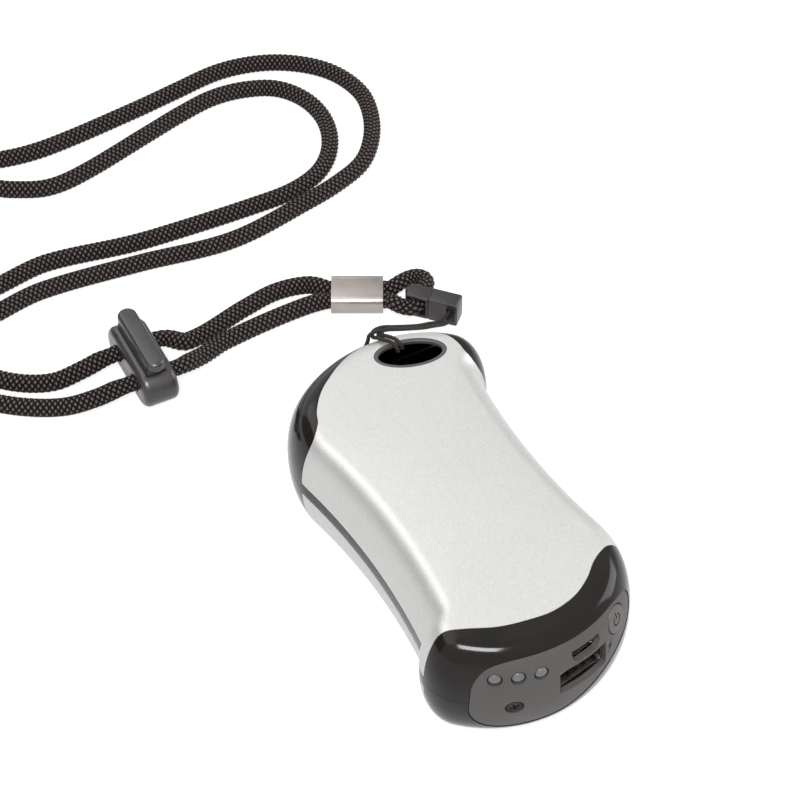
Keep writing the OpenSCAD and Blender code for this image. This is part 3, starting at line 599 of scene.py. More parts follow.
plunger_low = 1.1 + 0.1 + plunger_stroke
head_low = 2 * lock_round + plunger_stroke + 0.1
plunger = block("cord lock plunger", (-2.5, -9.5, plunger_low), (2.5, 9.5, head_low + 0.2))
for side in (-1, 1):
    for lift in (0, plunger_stroke):
        cut(plunger, drum("cord pass", cord_hole, -3, 3, axis="X", place=(0, side * lane, lane_height + 0.1 + lift)))
    cut(plunger, block("pass gap", (-3, side * lane - cord_hole, lane_height + 0.1),
                       (3, side * lane + cord_hole, lane_height + 0.1 + plunger_stroke)))
cut(plunger, block("spring pocket", (-3, -2.4, plunger_low - 1), (3, 2.4, plunger_low + 4.5)))
head = drum("head", 2.5, head_low, head_low + 3.2, sides=48)
drawn_apart(head, 1, 8.7)
round_edges(head, 1.1, 6)
cut(plunger, head, "UNION")
smooth(plunger, 40)
set_down(plunger, lock_centre, lock_turn)
dress(plunger, lock_plastic, "lock_plastic", "lock_plunger", "cord_lock_plunger")


# Silver skins: two shells of aluminium with a satin pearl coat, one above and
# one below. They sit in shallow beds of the black frame and follow its S shape.
body_length, body_thick, mid = 107.0, 30.0, 15.0
lobe_half, shoulder_half, waist_half = 30.0, 23.5, 20.6
end_r, lobe_r, shoulder_r, hollow_r = 33.0, 23.0, 9.8, 1.67
edge_in, edge_power, far_dome = 6.8, 2.2, 0.05
strip_height, skin_thick, frame_in, fit = 3.6, 1.2, 3.0, 0.1
end_y = -(body_length / 2 - end_r)
crown = 0.3
seam_line = 0.28


def corner_y(half, radius):
    return body_length / 2 - end_r + math.sqrt((end_r - radius) ** 2 - (half - radius) ** 2)


def hollow_radius(half, radius, along):
    wide = half - waist_half
    return (wide**2 + along**2) / (2 * wide) - radius


def arc(cx, cy, radius, start, stop, sign=1):
    count = max(6, round(abs(math.radians(stop - start)) * radius / 0.8))
    turns = [math.radians(start + (stop - start) * i / count) for i in range(count)]
    return [(cx + radius * math.cos(a), cy + radius * math.sin(a), sign * math.cos(a), sign * math.sin(a))
            for a in turns]


def body_outline():
    """Plan of the body: x, y and the outward direction at each point."""
    y1, y2 = corner_y(lobe_half, lobe_r), corner_y(shoulder_half, shoulder_r)
    narrow = shoulder_half - waist_half
    waist_y = y2 - math.sqrt(2 * narrow * (hollow_r + shoulder_r) - narrow**2)
    w1 = hollow_radius(lobe_half, lobe_r, y1 + waist_y)
    w2 = hollow_radius(shoulder_half, shoulder_r, abs(y2 - waist_y))
    b1 = math.degrees(math.atan2(-y1 - waist_y, lobe_half - lobe_r - waist_half - w1)) + 360
    b2 = math.degrees(math.atan2(y2 - waist_y, shoulder_half - shoulder_r - waist_half - w2))
    e1 = math.degrees(math.atan2(-y1 - end_y, lobe_half - lobe_r))
    e2 = math.degrees(math.atan2(y2 + end_y, shoulder_half - shoulder_r))
    right_side = (arc(0, end_y, end_r, -90, e1) + arc(lobe_half - lobe_r, -y1, lobe_r, e1, b1 - 180)
                  + arc(waist_half + w1, waist_y, w1, b1, 180, -1) + arc(waist_half + w2, waist_y, w2, 180, b2, -1)
                  + arc(shoulder_half - shoulder_r, y2, shoulder_r, b2 - 180, e2) + arc(0, -end_y, end_r, e2, 90))
    return right_side + [tuple(-v for v in p) for p in right_side]


outline = body_outline()


def on_body(p, depth, angle):
    """A point depth under the skin, from mid height (0) to a flat face (90)."""
    a = math.radians(min(abs(angle), 90))
    pushed = depth + edge_in * (1 - math.cos(a) ** (2 / edge_power) if a < math.pi / 2 else 1)
    rise = math.copysign(math.sin(a) ** (2 / edge_power), angle)
    y = p[1] - p[3] * pushed
    x, share = p[0] - p[2] * pushed, 1 - max(math.cos(a), 0) ** (2 / edge_power)
    lean = 1 - (x + 8) / 17 * max(1 - depth / frame_in, 0)
    squeeze = 1 - far_dome * lean * share if y > 0 else 1
    return Vector((x, y * squeeze, mid + (mid - depth) * rise))


def angle_at(height, depth):
    share = (height - mid) / (mid - depth)
    return math.copysign(math.degrees(math.asin(abs(share) ** (edge_power / 2))), share)


def half_shell(name, low, outer, inner, steps=26, inward=9):
    """Closed shell between two depths, from a height to the face on its side."""
    mesh, count = bmesh.new(), len(outline)
    sign = 1 if low > mid else -1
    sheets = []
    for depth in (outer, inner):
        start = angle_at(low, depth)
        angles = [start + (90 * sign - start) * k / steps for k in range(steps + 1)]
        rings = [[on_body(p, depth, angle) for p in outline] for angle in angles]
        for k in range(1, inward):
            share = 1 - k / inward
            lift = crown * (1 - share**2) * (sign > 0)
            rings.append([Vector((v.x * share, v.y * share, v.z + lift)) for v in rings[steps]])
        rows = [[mesh.verts.new(v * MM) for v in ring] for ring in rings]
        tip = mesh.verts.new(Vector((0, 0, rings[steps][0].z + crown * (sign > 0))) * MM)
        sheets.append((rows, tip))
    for rows, tip in sheets:
        for a, b in zip(rows, rows[1:]):
            for i in range(count):
                j = (i + 1) % count
                mesh.faces.new((a[i], a[j], b[j], b[i]))
        for i in range(count):
            mesh.faces.new((rows[-1][i], rows[-1][(i + 1) % count], tip))
    for i in range(count):
        j = (i + 1) % count
        mesh.faces.new((sheets[0][0][0][i], sheets[0][0][0][j], sheets[1][0][0][j], sheets[1][0][0][i]))
    bmesh.ops.recalc_face_normals(mesh, faces=mesh.faces)
    data = bpy.data.meshes.new(name)
    mesh.to_mesh(data)
    mesh.free()
    piece = bpy.data.objects.new(name, data)
    bpy.context.collection.objects.link(piece)
    return piece


def closed_curve(points, each=10):
    """Even closed curve through given points."""
    curve, count = [], len(points)
    for i in range(count):
        a, b, c, d = (Vector(points[(i + k) % count]) for k in (-1, 0, 1, 2))
        for k in range(each):
            t = k / each
            curve.append(0.5 * (2 * b + (c - a) * t + (2 * a - 5 * b + 4 * c - d) * t**2
                                + (3 * b - a - 3 * c + d) * t**3))
    return curve


def inset(curve, distance):
    count, moved = len(curve), []
    for i in range(count):
        way = (curve[(i + 1) % count] - curve[i - 1]).normalized()
        moved.append(curve[i] + distance * Vector((-way.y, way.x)))
    return moved


def plate(name, curve, low, high, upright=False):
    """A flat shape of any outline, drawn out from low to high, in mm."""
    clear_selection()
    bpy.ops.mesh.primitive_circle_add(vertices=len(curve), radius=1, fill_type="NGON")
    piece = settle(name)
    for vert, p in zip(piece.data.vertices, curve):
        vert.co = Vector((p.x, low, p.y) if upright else (p.x, p.y, low)) * MM
    bpy.ops.object.mode_set(mode="EDIT")
    bpy.ops.mesh.select_all(action="SELECT")
    way = (0, (high - low) * MM, 0) if upright else (0, 0, (high - low) * MM)
    bpy.ops.mesh.extrude_region_move(TRANSFORM_OT_translate={"value": way})
    bpy.ops.mesh.select_all(action="SELECT")
    bpy.ops.mesh.normals_make_consistent(inside=False)
    bpy.ops.object.mode_set(mode="OBJECT")
    return piece


near, far = -body_length / 2, body_length / 2
near_cut = [(-34, 9.5), (-26, 12.7), (-22.4, 13.6), (-19, 14.3), (-14, 13.2), (-7, 11.1), (0, 10.5), (6, 10.8),
            (12, 13), (16.5, 16.5), (20, 20.5), (23.5, 23.1), (27, 24.3), (36, 26.5)]
far_cut = [(36, 23.5), (25, 20), (20, 19), (17.8, 16.3), (17.1, 13.4), (16.2, 10.8), (14.7, 8.4), (12.2, 6.5),
           (9, 5.1), (4.5, 4.3), (0, 4.1), (-4.2, 4.8), (-8.3, 6.5), (-12.3, 9.4), (-15.6, 12.5), (-18, 15),
           (-20.3, 18.2), (-22.3, 22.2), (-23.4, 25.9), (-26.4, 29.9), (-31, 30.9), (-42, 32.5)]
skin_plan = closed_curve([(x, near + y) for x, y in near_cut] + [(44, 0)] + [(x, far - y) for x, y in far_cut]
                         + [(-46, -10), (-42, near + 11.5)])
hole_centre, hole_turn = Vector((5.1, far - 12.1)), math.radians(-9)
hole_a, hole_b, hole_rim = 8.8, 4.65, 0.95


def oval(a, b, count=96):
    turns = [2 * math.pi * i / count for i in range(count)]
    return [hole_centre + Vector((a * math.cos(t) * math.cos(hole_turn) - b * math.sin(t) * math.sin(hole_turn),
                                  a * math.cos(t) * math.sin(hole_turn) + b * math.sin(t) * math.cos(hole_turn)))
            for t in turns]


def lanyard_bore():
    return plate("bore", oval(hole_a + fit, hole_b + fit), -1, body_thick + 2)


def tether_groove():
    groove = block("groove", (-1.9, 0, -1), (1.9, 12.1, 2.3))
    groove.data.transform(Matrix.Translation(Vector((hole_centre.x - 1.4, hole_centre.y + 2, 0)) * MM)
                          @ Matrix.Rotation(math.radians(20), 4, "Z"))
    return groove


def pearl_coat():
    """Satin pearl coat: a metal base with fine bright and dark flakes."""
    material, tree, shader = new_material("satin pearl silver")
    place = tree.nodes.new("ShaderNodeTexCoord")
    flakes = tree.nodes.new("ShaderNodeTexVoronoi")
    flakes.inputs["Scale"].default_value = 1 / (0.28 * MM)
    tree.links.new(place.outputs["Object"], flakes.inputs["Vector"])
    tone = tree.nodes.new("ShaderNodeSeparateColor")
    tree.links.new(flakes.outputs["Color"], tone.inputs[0])
    flake_tone = ramp(tree, tone.outputs[0], (0.485, 0.485, 0.475), (0.54, 0.54, 0.53), 0.1, 0.95)
    tree.links.new(flake_tone, shader.inputs["Base Color"])
    detail = tree.nodes.new("ShaderNodeGroup")
    detail.node_tree = grain_and_clouds
    detail.inputs["Grain"].default_value = 1 / (0.22 * MM)
    detail.inputs["Clouds"].default_value = 1 / (14 * MM)
    tree.links.new(place.outputs["Object"], detail.inputs["Vector"])
    worn = tree.nodes.new("ShaderNodeMapRange")
    worn.inputs["To Min"].default_value, worn.inputs["To Max"].default_value = 0.42, 0.52
    tree.links.new(detail.outputs["Clouds"], worn.inputs["Value"])
    tree.links.new(worn.outputs[0], shader.inputs["Roughness"])
    shader.inputs["Metallic"].default_value = 0.75
    bump(tree, shader, detail.outputs["Grain"], 0.012 * MM)
    return material


pearl_silver = pearl_coat()
for name, low, node in (("top skin", mid + strip_height / 2, "top_skin"),
                        ("bottom skin", mid - strip_height / 2, "bottom_skin")):
    skin = half_shell(name, low, 0, skin_thick)
    cut(skin, plate("skin plan", skin_plan, -2, body_thick + 3), "INTERSECT")
    cut(skin, lanyard_bore())
    if low < mid:
        cut(skin, tether_groove())
    round_edges(skin, 0.13, 2, 45)
    smooth(skin, 30)
    dress(skin, pearl_silver, "pearl_silver", "warmer", node)


# Frame: two halves of gloss black plastic, moulded, that meet at mid height.
# Three screws from below pull them together; the skins and the panel lie in them.
gloss_black = surface("gloss black plastic", (0.006, 0.0045, 0.0042), (0.010, 0.0075, 0.007), (0.11, 0.17),
                      grain_size=1.5, grain_depth=0.004, cloud_size=14, specular=0.22)
panel_low = [(-29, 10.5), (-24.3, 6.6), (-16.5, 4.5), (-3.5, 4.6), (8.7, 5.4), (18.6, 7.8), (29, 11),
             (37.3, 13.3), (46.7, 16.2)]
panel_high = [(52.4, 9.5), (49, 5), (38.4, 2.9), (21.3, 2.4), (0, 2.4), (-14, 3), (-22.8, 4.8),
              (-28.2, 9), (-29.4, 14.5)]
panel_face = closed_curve([(end_r * math.sin(math.radians(a)), z) for a, z in panel_low]
                          + [(end_r * math.sin(math.radians(a)), body_thick - z) for a, z in panel_high])


def near_patch(name, outer, inner, low=-80, high=80, steps=44):
    """A curved slab of the near end between two depths."""
    count = len(outline)
    picked = [i for i in range(-count // 3, count // 3) if outline[i % count][1] < -22]

    def spot(k, depth):
        row, column = divmod(k, len(picked))
        return on_body(outline[picked[column] % count], depth, low + (high - low) * row / steps) * MM
    clear_selection()
    bpy.ops.mesh.primitive_grid_add(x_subdivisions=len(picked) - 1, y_subdivisions=steps, size=1)
    piece = settle(name)
    for k, vert in enumerate(piece.data.vertices):
        vert.co = spot(k, outer)
    front = len(piece.data.vertices)
    hold(piece)
    bpy.ops.object.mode_set(mode="EDIT")
    bpy.ops.mesh.select_all(action="SELECT")
    bpy.ops.mesh.extrude_region_move(TRANSFORM_OT_translate={"value": (0, 0.001, 0)})
    bpy.ops.object.mode_set(mode="OBJECT")
    rows = piece.data.vertices
    for k in range(front):
        rows[front + k].co = spot(k, inner)
    bpy.ops.object.mode_set(mode="EDIT")
    bpy.ops.mesh.select_all(action="SELECT")
    bpy.ops.mesh.normals_make_consistent(inside=False)
    bpy.ops.object.mode_set(mode="OBJECT")
    return piece


def face_prism(distance):
    return plate("panel face", inset(panel_face, distance), end_y - 60, end_y - 4, upright=True)


def near_place(degrees, depth, height):
    """Matrix of a place on the near end: local +Y points into the body."""
    return (Matrix.Translation(Vector((0, end_y, height)) * MM) @ Matrix.Rotation(math.radians(degrees), 4, "Z")
            @ Matrix.Translation(Vector((0, depth - end_r, 0)) * MM))


def at_end(piece, degrees, depth, height):
    piece.data.transform(near_place(degrees, depth, height))
    return piece


def rod(name, radius, outward_from, outward_to, sides=56):
    """A round bar along the outward direction of a place on the near end."""
    return drum(name, radius, -outward_to, -outward_from, axis="Y", sides=sides)


board_top = body_thick - 12.7 + 3.0 + 1.2
usb_at, usb_z = 18.6, body_thick - 12.7
micro_at, micro_z = 20.2, board_top + 1.7
lens_first, lens_step, lens_z, lens_r = -20, 9.4, board_top + 1.1, 1.45
button_at, button_z, button_r = 40, board_top + 1.5, 3.3
screw_at, screw_z, screw_in = -11.9, mid - 1.8, 1.1
post_places = [(-15, far - 16.5), (-17.5, near + 12), (21, near + 17.5)]


def joined(piece, *others):
    """Puts closed shells of one moulding into one mesh."""
    hold(piece)
    for other in others:
        other.select_set(True)
    bpy.ops.object.join()
    return piece


for name, low, node in (("upper frame", mid + 0.05, "upper_frame"), ("lower frame", mid - 0.05, "lower_frame")):
    upper = low > mid
    sign = 1 if upper else -1
    rim_wall = half_shell(name, low, 0, frame_in - 0.4)
    bed_from = mid + sign * (strip_height / 2 - seam_line)
    cut(rim_wall, plate("bed", inset(skin_plan, -fit), *sorted((bed_from, mid + sign * 20))))
    floor = half_shell("floor", low + sign * 0.03, skin_thick + fit, frame_in, steps=16, inward=5)
    ledge = near_patch("ledge", 1.6 + fit, frame_in, *sorted((sign * 80, angle_at(low + sign * 0.03, 0))))
    cut(ledge, face_prism(-fit - 0.3), "INTERSECT")
    for part in (rim_wall, floor):
        cut(part, face_prism(-fit))
        cut(part, lanyard_bore())
    if upper:
        cut(ledge, face_prism(1.8))
        cut(ledge, at_end(rod("button room", 4.4, 0, 7), button_at, 9, button_z))
        posts = [drum("post", 2.3, low, body_thick - frame_in + 0.4, place=(x, y, 0)) for x, y in post_places]
        for (x, y), post in zip(post_places, posts):
            cut(post, drum("screw hole", 1.0, low - 1, low + 6, place=(x, y, 0), sides=32))
    else:
        cut(ledge, at_end(block("port room", (-7.2, 0, 0), (7.2, 9, 4)), usb_at, -2, usb_z - 4.14))
        cut(ledge, at_end(rod("screw room", 0.95, -1, 10), screw_at, 9, screw_z))
        posts = [drum("post", 2.3, frame_in - 0.4, low, place=(x, y, 0)) for x, y in post_places]
        for part in (rim_wall, floor):
            cut(part, tether_groove())
            for x, y in post_places:
                cut(part, drum("screw pocket", 1.95, -1, 3.5, place=(x, y, 0), sides=48))
        for (x, y), post in zip(post_places, posts):
            cut(post, drum("screw pocket", 1.95, -1, 2.9, place=(x, y, 0), sides=48))
            cut(post, drum("screw hole", 1.1, 2, low + 1, place=(x, y, 0), sides=32))
    round_edges(rim_wall, 0.12, 2, 50)
    shell = joined(rim_wall, floor, ledge, *posts)
    smooth(shell, 30)
    dress(shell, gloss_black, "gloss_black", "warmer", node)


# Eyelets: two oval rings of black plastic that line the lanyard hole, one let
# into each face. They meet halfway down the hole.
eyelet_black = surface("eyelet black", (0.036, 0.034, 0.032), (0.052, 0.049, 0.046), (0.34, 0.46),
                       grain_size=0.3,
                       grain_depth=0.004, cloud_size=4, specular=0.6)
for name, low, high, flange, node in (("upper eyelet", mid + 0.05, body_thick, body_thick - 0.9, "upper_eyelet"),
                                      ("lower eyelet", 0, mid - 0.05, 0, "lower_eyelet")):
    eyelet = plate(name, oval(hole_a - 0.35, hole_b - 0.35), low, high)
    cut(eyelet, plate("flange", oval(hole_a, hole_b), flange, flange + 0.9), "UNION")
    cut(eyelet, plate("opening", oval(hole_a - hole_rim, hole_b - hole_rim), low - 1, high + 1))
    if node == "lower_eyelet":
        cut(eyelet, tether_groove())
    round_edges(eyelet, 0.2, 3, 40)
    smooth(eyelet, 35)
    dress(eyelet, eyelet_black, "gloss_black", "warmer", node)


# End panel: a curved plate of dark grey plastic with a fine etched texture. It
# lies in the frame, level with it, and takes the ports, lenses and button.
panel_grey = surface("etched dark grey", (0.054, 0.050, 0.048), (0.066, 0.062, 0.060), (0.46, 0.58),
                     grain_size=0.14,
                     grain_depth=0.012, cloud_size=9, specular=0.42)


def micro_outline(half_wide, half_high):
    """The five sided face of the small socket, with softened corners."""
    corners = [(-half_wide, half_high), (half_wide, half_high), (half_wide, -0.1 * half_high),
               (half_wide - 0.75 * half_high, -half_high), (0.75 * half_high - half_wide, -half_high),
               (-half_wide, -0.1 * half_high)]
    points, soft = [], 0.22 * half_high
    for i, corner in enumerate(corners):
        here, before, after = Vector(corner), Vector(corners[i - 1]), Vector(corners[(i + 1) % 6])
        start = here + (before - here).normalized() * soft
        stop = here + (after - here).normalized() * soft
        points += [start * (1 - t)**2 + here * 2 * t * (1 - t) + stop * t**2 for t in (0, 0.25, 0.5, 0.75, 1)]
    return points


def micro_tube(name, half_wide, half_high, low, high):
    return plate(name, micro_outline(half_wide, half_high), low, high, upright=True)


def slab(name, low, high, corner, segments=4):
    """A box whose four edges along Y are rounded."""
    piece = block(name, low, high)
    bevel_where(piece, lambda middle, way: abs(way.y) > 0.9, corner, segments)
    return piece


panel = near_patch("end panel", 0.15, 1.6)
cut(panel, face_prism(0.12), "INTERSECT")
for k in range(3):
    cut(panel, at_end(rod("lens hole", lens_r + 0.3, 0, 8, 40), lens_first + k * lens_step, 5, lens_z))
cut(panel, at_end(slab("port hole", (-6.8, -1, -3.6), (6.8, 8, 3.6), 0.45), usb_at, -3, usb_z))
cut(panel, at_end(micro_tube("small port hole", 4.1, 1.7, 0, 9), micro_at, -3, micro_z))
cut(panel, at_end(rod("button hole", button_r + 0.3, 0, 8), button_at, 5, button_z))
cut(panel, at_end(rod("screw recess", 2.2, 0, 3), screw_at, screw_in + 0.2, screw_z))
cut(panel, at_end(rod("screw hole", 1.15, 0, 8, 32), screw_at, screw_in + 3.9, screw_z))
round_edges(panel, 0.12, 2, 45)
smooth(panel, 30)
dress(panel, panel_grey, "dark_grey", "warmer", "end_panel")


# Bolt sign: a plain lightning bolt printed in light grey ink beside the ports.
bolt_ink = surface("printed sign", (0.006, 0.0055, 0.0055), (0.009, 0.0085, 0.008), (0.6, 0.7),
                   grain_size=0.1, grain_depth=0.002,
                   cloud_size=1, specular=0.12)
bolt_points = [(0.8, 1.8), (-0.9, -0.2), (-0.1, -0.2), (-0.8, -1.8), (0.9, 0.22), (0.1, 0.22)]
bolt = near_patch("bolt sign", 0.13, 0.4)
bolt_tool = plate("bolt", [Vector(p) for p in bolt_points], 0, 8, upright=True)
at_end(bolt_tool, 33.5, -3, usb_z + 0.9)
cut(bolt, bolt_tool, "INTERSECT")
dress(bolt, bolt_ink, "dark_grey", "warmer")


# Panel screw: a small nickel plated steel screw with a cross in its head, set in
# a recess of the panel. It pulls the panel on to the lower frame.
screw_steel = surface("blackened steel", (0.020, 0.018, 0.017), (0.034, 0.031, 0.029), (0.30, 0.42),
                      grain_size=0.12,
                      grain_depth=0.003, cloud_size=1.5, metallic=1.0)


def cross_screw(name, head_radius, head_high, shank_radius, shank_long):
    """A screw along Z with its head's face at height 0."""
    screw = drum(name, head_radius, -head_high, 0, sides=56)
    round_edges(screw, 0.22, 4)
    cut(screw, drum("shank", shank_radius, -head_high - shank_long, -head_high + 0.05, sides=28), "UNION")
    for quarter in (0, 90):
        arm = block("arm", (-head_radius * 0.62, -0.2, -0.45), (head_radius * 0.62, 0.2, 0.5))
        arm.data.transform(Matrix.Rotation(math.radians(quarter + 20), 4, "Z"))
        cut(screw, arm)
    round_edges(screw, 0.05, 2, 50)
    smooth(screw, 35)
    return screw


panel_screw = cross_screw("panel screw", 1.95, 0.8, 0.9, 5.0)
panel_screw.data.transform(near_place(screw_at, screw_in - 0.65, screw_z) @ Matrix.Rotation(math.pi / 2, 4, "X"))
dress(panel_screw, screw_steel, "steel", "warmer", "panel_screw")


# Power button: a round cap of the panel's grey plastic, level with the panel. It
# slides in on its collar, and a printed standby sign marks it.
button_grey = surface("button grey", (0.074, 0.070, 0.068), (0.088, 0.084, 0.081), (0.42, 0.54),
                      grain_size=0.16,
                      grain_depth=0.008, cloud_size=5, specular=0.45)
button = near_patch("power button", 0.05, 4.2, low=0, high=75)
cut(button, at_end(rod("cap", button_r, 1.6, 8), button_at, 5, button_z), "INTERSECT")
round_edges(button, 0.25, 4, 50)
cut(button, at_end(rod("collar", button_r - 0.02, 0.6, 2.2), button_at, 5, button_z), "UNION")
cut(button, at_end(rod("pin", 1.2, -0.2, 1.6, 32), button_at, 5, button_z), "UNION")
guide = block("guide", (-button_r - 0.6, -1.2, -1.45), (button_r + 0.6, -0.6, 1.45))
cut(button, at_end(guide, button_at, 5, button_z), "UNION")
smooth(button, 30)
dress(button, button_grey, "dark_grey", "button", "power_button")

sign = near_patch("standby sign", 0.03, 0.35, low=0, high=75)
open_ring = [math.radians(90 + 38 + (360 - 76) * i / 40) for i in range(41)]
ring_plan = [Vector((1.5 * math.cos(t), 1.5 * math.sin(t))) for t in open_ring]
ring_plan += [Vector((1.12 * math.cos(t), 1.12 * math.sin(t))) for t in reversed(open_ring)]
sign_tool = plate("ring", ring_plan, 0, 8, upright=True)
cut(sign_tool, block("bar", (-0.19, 0, 0.2), (0.19, 8, 1.85)), "UNION")
cut(sign, at_end(sign_tool, button_at, -3, button_z), "INTERSECT")
dress(sign, bolt_ink, "dark_grey", "button")


# Indicator lenses: three domes on one light guide of frosted clear plastic. They
# stand a little proud of the panel, each over its own LED.
frosted = surface("frosted lens", (0.085, 0.085, 0.085), (0.12, 0.12, 0.12), (0.16, 0.24),
                  grain_size=0.2, grain_depth=0.004,
                  cloud_size=2, specular=0.55)
lenses = None
for k in range(3):
    lens = rod("indicator lenses", lens_r, 0.4, 3.7, 48)
    turns = [math.radians(a) for a in range(0, 90, 10)]
    dome_points = [(lens_r * math.cos(a), 3.7 + 0.55 * math.sin(a)) for a in turns]
    hold(lens)
    bpy.ops.object.mode_set(mode="EDIT")
    bpy.ops.mesh.select_mode(type="FACE")
    mesh = bmesh.from_edit_mesh(lens.data)
    for face in mesh.faces:
        face.select = face.normal.y < -0.9
    bmesh.update_edit_mesh(lens.data)
    for (r0, y0), (r1, y1) in zip(dome_points, dome_points[1:]):
        bpy.ops.mesh.extrude_region_move(TRANSFORM_OT_translate={"value": (0, (y0 - y1) * MM, 0)})
        bpy.ops.transform.resize(value=(r1 / r0, 1, r1 / r0), center_override=(0, -y1 * MM, 0))
    bpy.ops.object.mode_set(mode="OBJECT")
    at_end(lens, lens_first + k * lens_step, 5, lens_z)
    if lenses is None:
        lenses = lens
    else:
        link = block("link", (-2.6, -1.6, -0.8), (2.6, -0.6, 0.8))
        cut(lens, at_end(link, lens_first + (k - 0.5) * lens_step, 5, lens_z), "UNION")
        cut(lenses, lens, "UNION")
smooth(lenses, 35)
dress(lenses, frosted, "smoke_lens", "warmer", "light_pipe")


# USB-A socket: a folded shell of tinned steel with spring tongues, a grey nylon
# tongue inside it and four gold plated contacts under that.
# The tin plate's colour is set far darker than bare tinned steel: painted shade standing in for the deep inside of
# both sockets, on a real metal finish.
tin_plate = surface("tin plate darkened for socket shade", (0.22, 0.22, 0.21), (0.28, 0.28, 0.27), (0.20, 0.32),
                    grain_size=0.15, grain_depth=0.003,
                    cloud_size=3, metallic=1.0)
port_grey = surface("port nylon", (0.20, 0.20, 0.195), (0.26, 0.26, 0.25), (0.40, 0.50),
                    grain_size=0.2, grain_depth=0.004,
                    cloud_size=4)
usb_half, usb_wall = (6.6, 2.94), 0.35


def in_usb(piece):
    return at_end(piece, usb_at, 2, usb_z)


usb_shell = slab("usb shell", (-usb_half[0], 0, -usb_half[1]), (usb_half[0], 12, usb_half[1]), 0.5)
usb_room = [half - usb_wall for half in usb_half]
cut(usb_shell, slab("usb room", (-usb_room[0], -1, -usb_room[1]), (usb_room[0], 13, usb_room[1]), 0.25))
for x in (-3.4, 3.4):
    for side in (-1, 1):
        low, high = sorted((side * (usb_half[1] + 0.2), side * (usb_half[1] - 0.6)))
        for edge in ((x - 1.15, x - 0.95), (x + 0.95, x + 1.15)):
            cut(usb_shell, block("spring slit", (edge[0], 2.0, low), (edge[1], 7.5, high)))
        cut(usb_shell, block("spring end", (x - 1.15, 7.3, low), (x + 1.15, 7.5, high)))
round_edges(usb_shell, 0.1, 2, 45)
smooth(usb_shell, 30)
dress(in_usb(usb_shell), tin_plate, "tin_plate", "warmer", "usb_a_shell")

usb_tongue = slab("usb tongue", (1 - usb_half[0], 0.7, 0.05), (usb_half[0] - 1, 9.7, 1.95), 0.15)
usb_base = [half - usb_wall - 0.1 for half in usb_half]
cut(usb_tongue, block("base", (-usb_base[0], 9.4, -usb_base[1]), (usb_base[0], 11.5, usb_base[1])), "UNION")
round_edges(usb_tongue, 0.18, 3, 50)
smooth(usb_tongue, 30)
dress(in_usb(usb_tongue), port_grey, "white_nylon", "warmer", "usb_a_tongue")

gold = surface("gold plate", (0.45, 0.36, 0.20), (0.55, 0.44, 0.26), (0.22, 0.30),
               grain_size=0.1, grain_depth=0.002,
               cloud_size=1, metallic=1.0)
contacts = None
for x in (-3.5, -1, 1, 3.5):
    contact = block("usb contacts", (x - 0.5, 1.2, -0.17), (x + 0.5, 8.2, 0.03))
    round_edges(contact, 0.06, 2)
    in_usb(contact)
    if contacts is None:
        contacts = contact
    else:
        cut(contacts, contact, "UNION")
smooth(contacts, 35)
dress(contacts, gold, "gold_contact", "warmer", "usb_a_contacts")


# Micro-USB socket: a small five sided shell of tinned steel, and the black nylon
# block with a thin tongue that fills its far end.
micro_shell = micro_tube("micro usb shell", 3.75, 1.36, 0, 5)
cut(micro_shell, micro_tube("micro room", 3.45, 1.08, -1, 6))
round_edges(micro_shell, 0.07, 2, 50)
smooth(micro_shell, 30)
dress(at_end(micro_shell, micro_at, 2.6, micro_z), tin_plate, "tin_plate", "warmer", "micro_usb_shell")

port_black = surface("port black", (0.016, 0.016, 0.016), (0.024, 0.024, 0.024), (0.35, 0.45), grain_size=0.2,
                     grain_depth=0.004, cloud_size=3)
micro_tongue = micro_tube("micro usb tongue", 3.4, 1.03, 3.3, 4.5)
cut(micro_tongue, block("tongue", (-1.9, 0.5, -0.1), (1.9, 3.5, 0.6)), "UNION")
round_edges(micro_tongue, 0.1, 2, 50)
smooth(micro_tongue, 30)
dress(at_end(micro_tongue, micro_at, 2.6, micro_z), port_black, "black_nylon", "warmer", "micro_usb_tongue")


# Inside parts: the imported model's own solids stay, each with its own finish. They
# are hidden in the closed shell, held between the two frames.
def refinish(material, *names):
    for name in names:
        piece = nodes[name]
        piece.data.materials.clear()
        piece.data.materials.append(material)


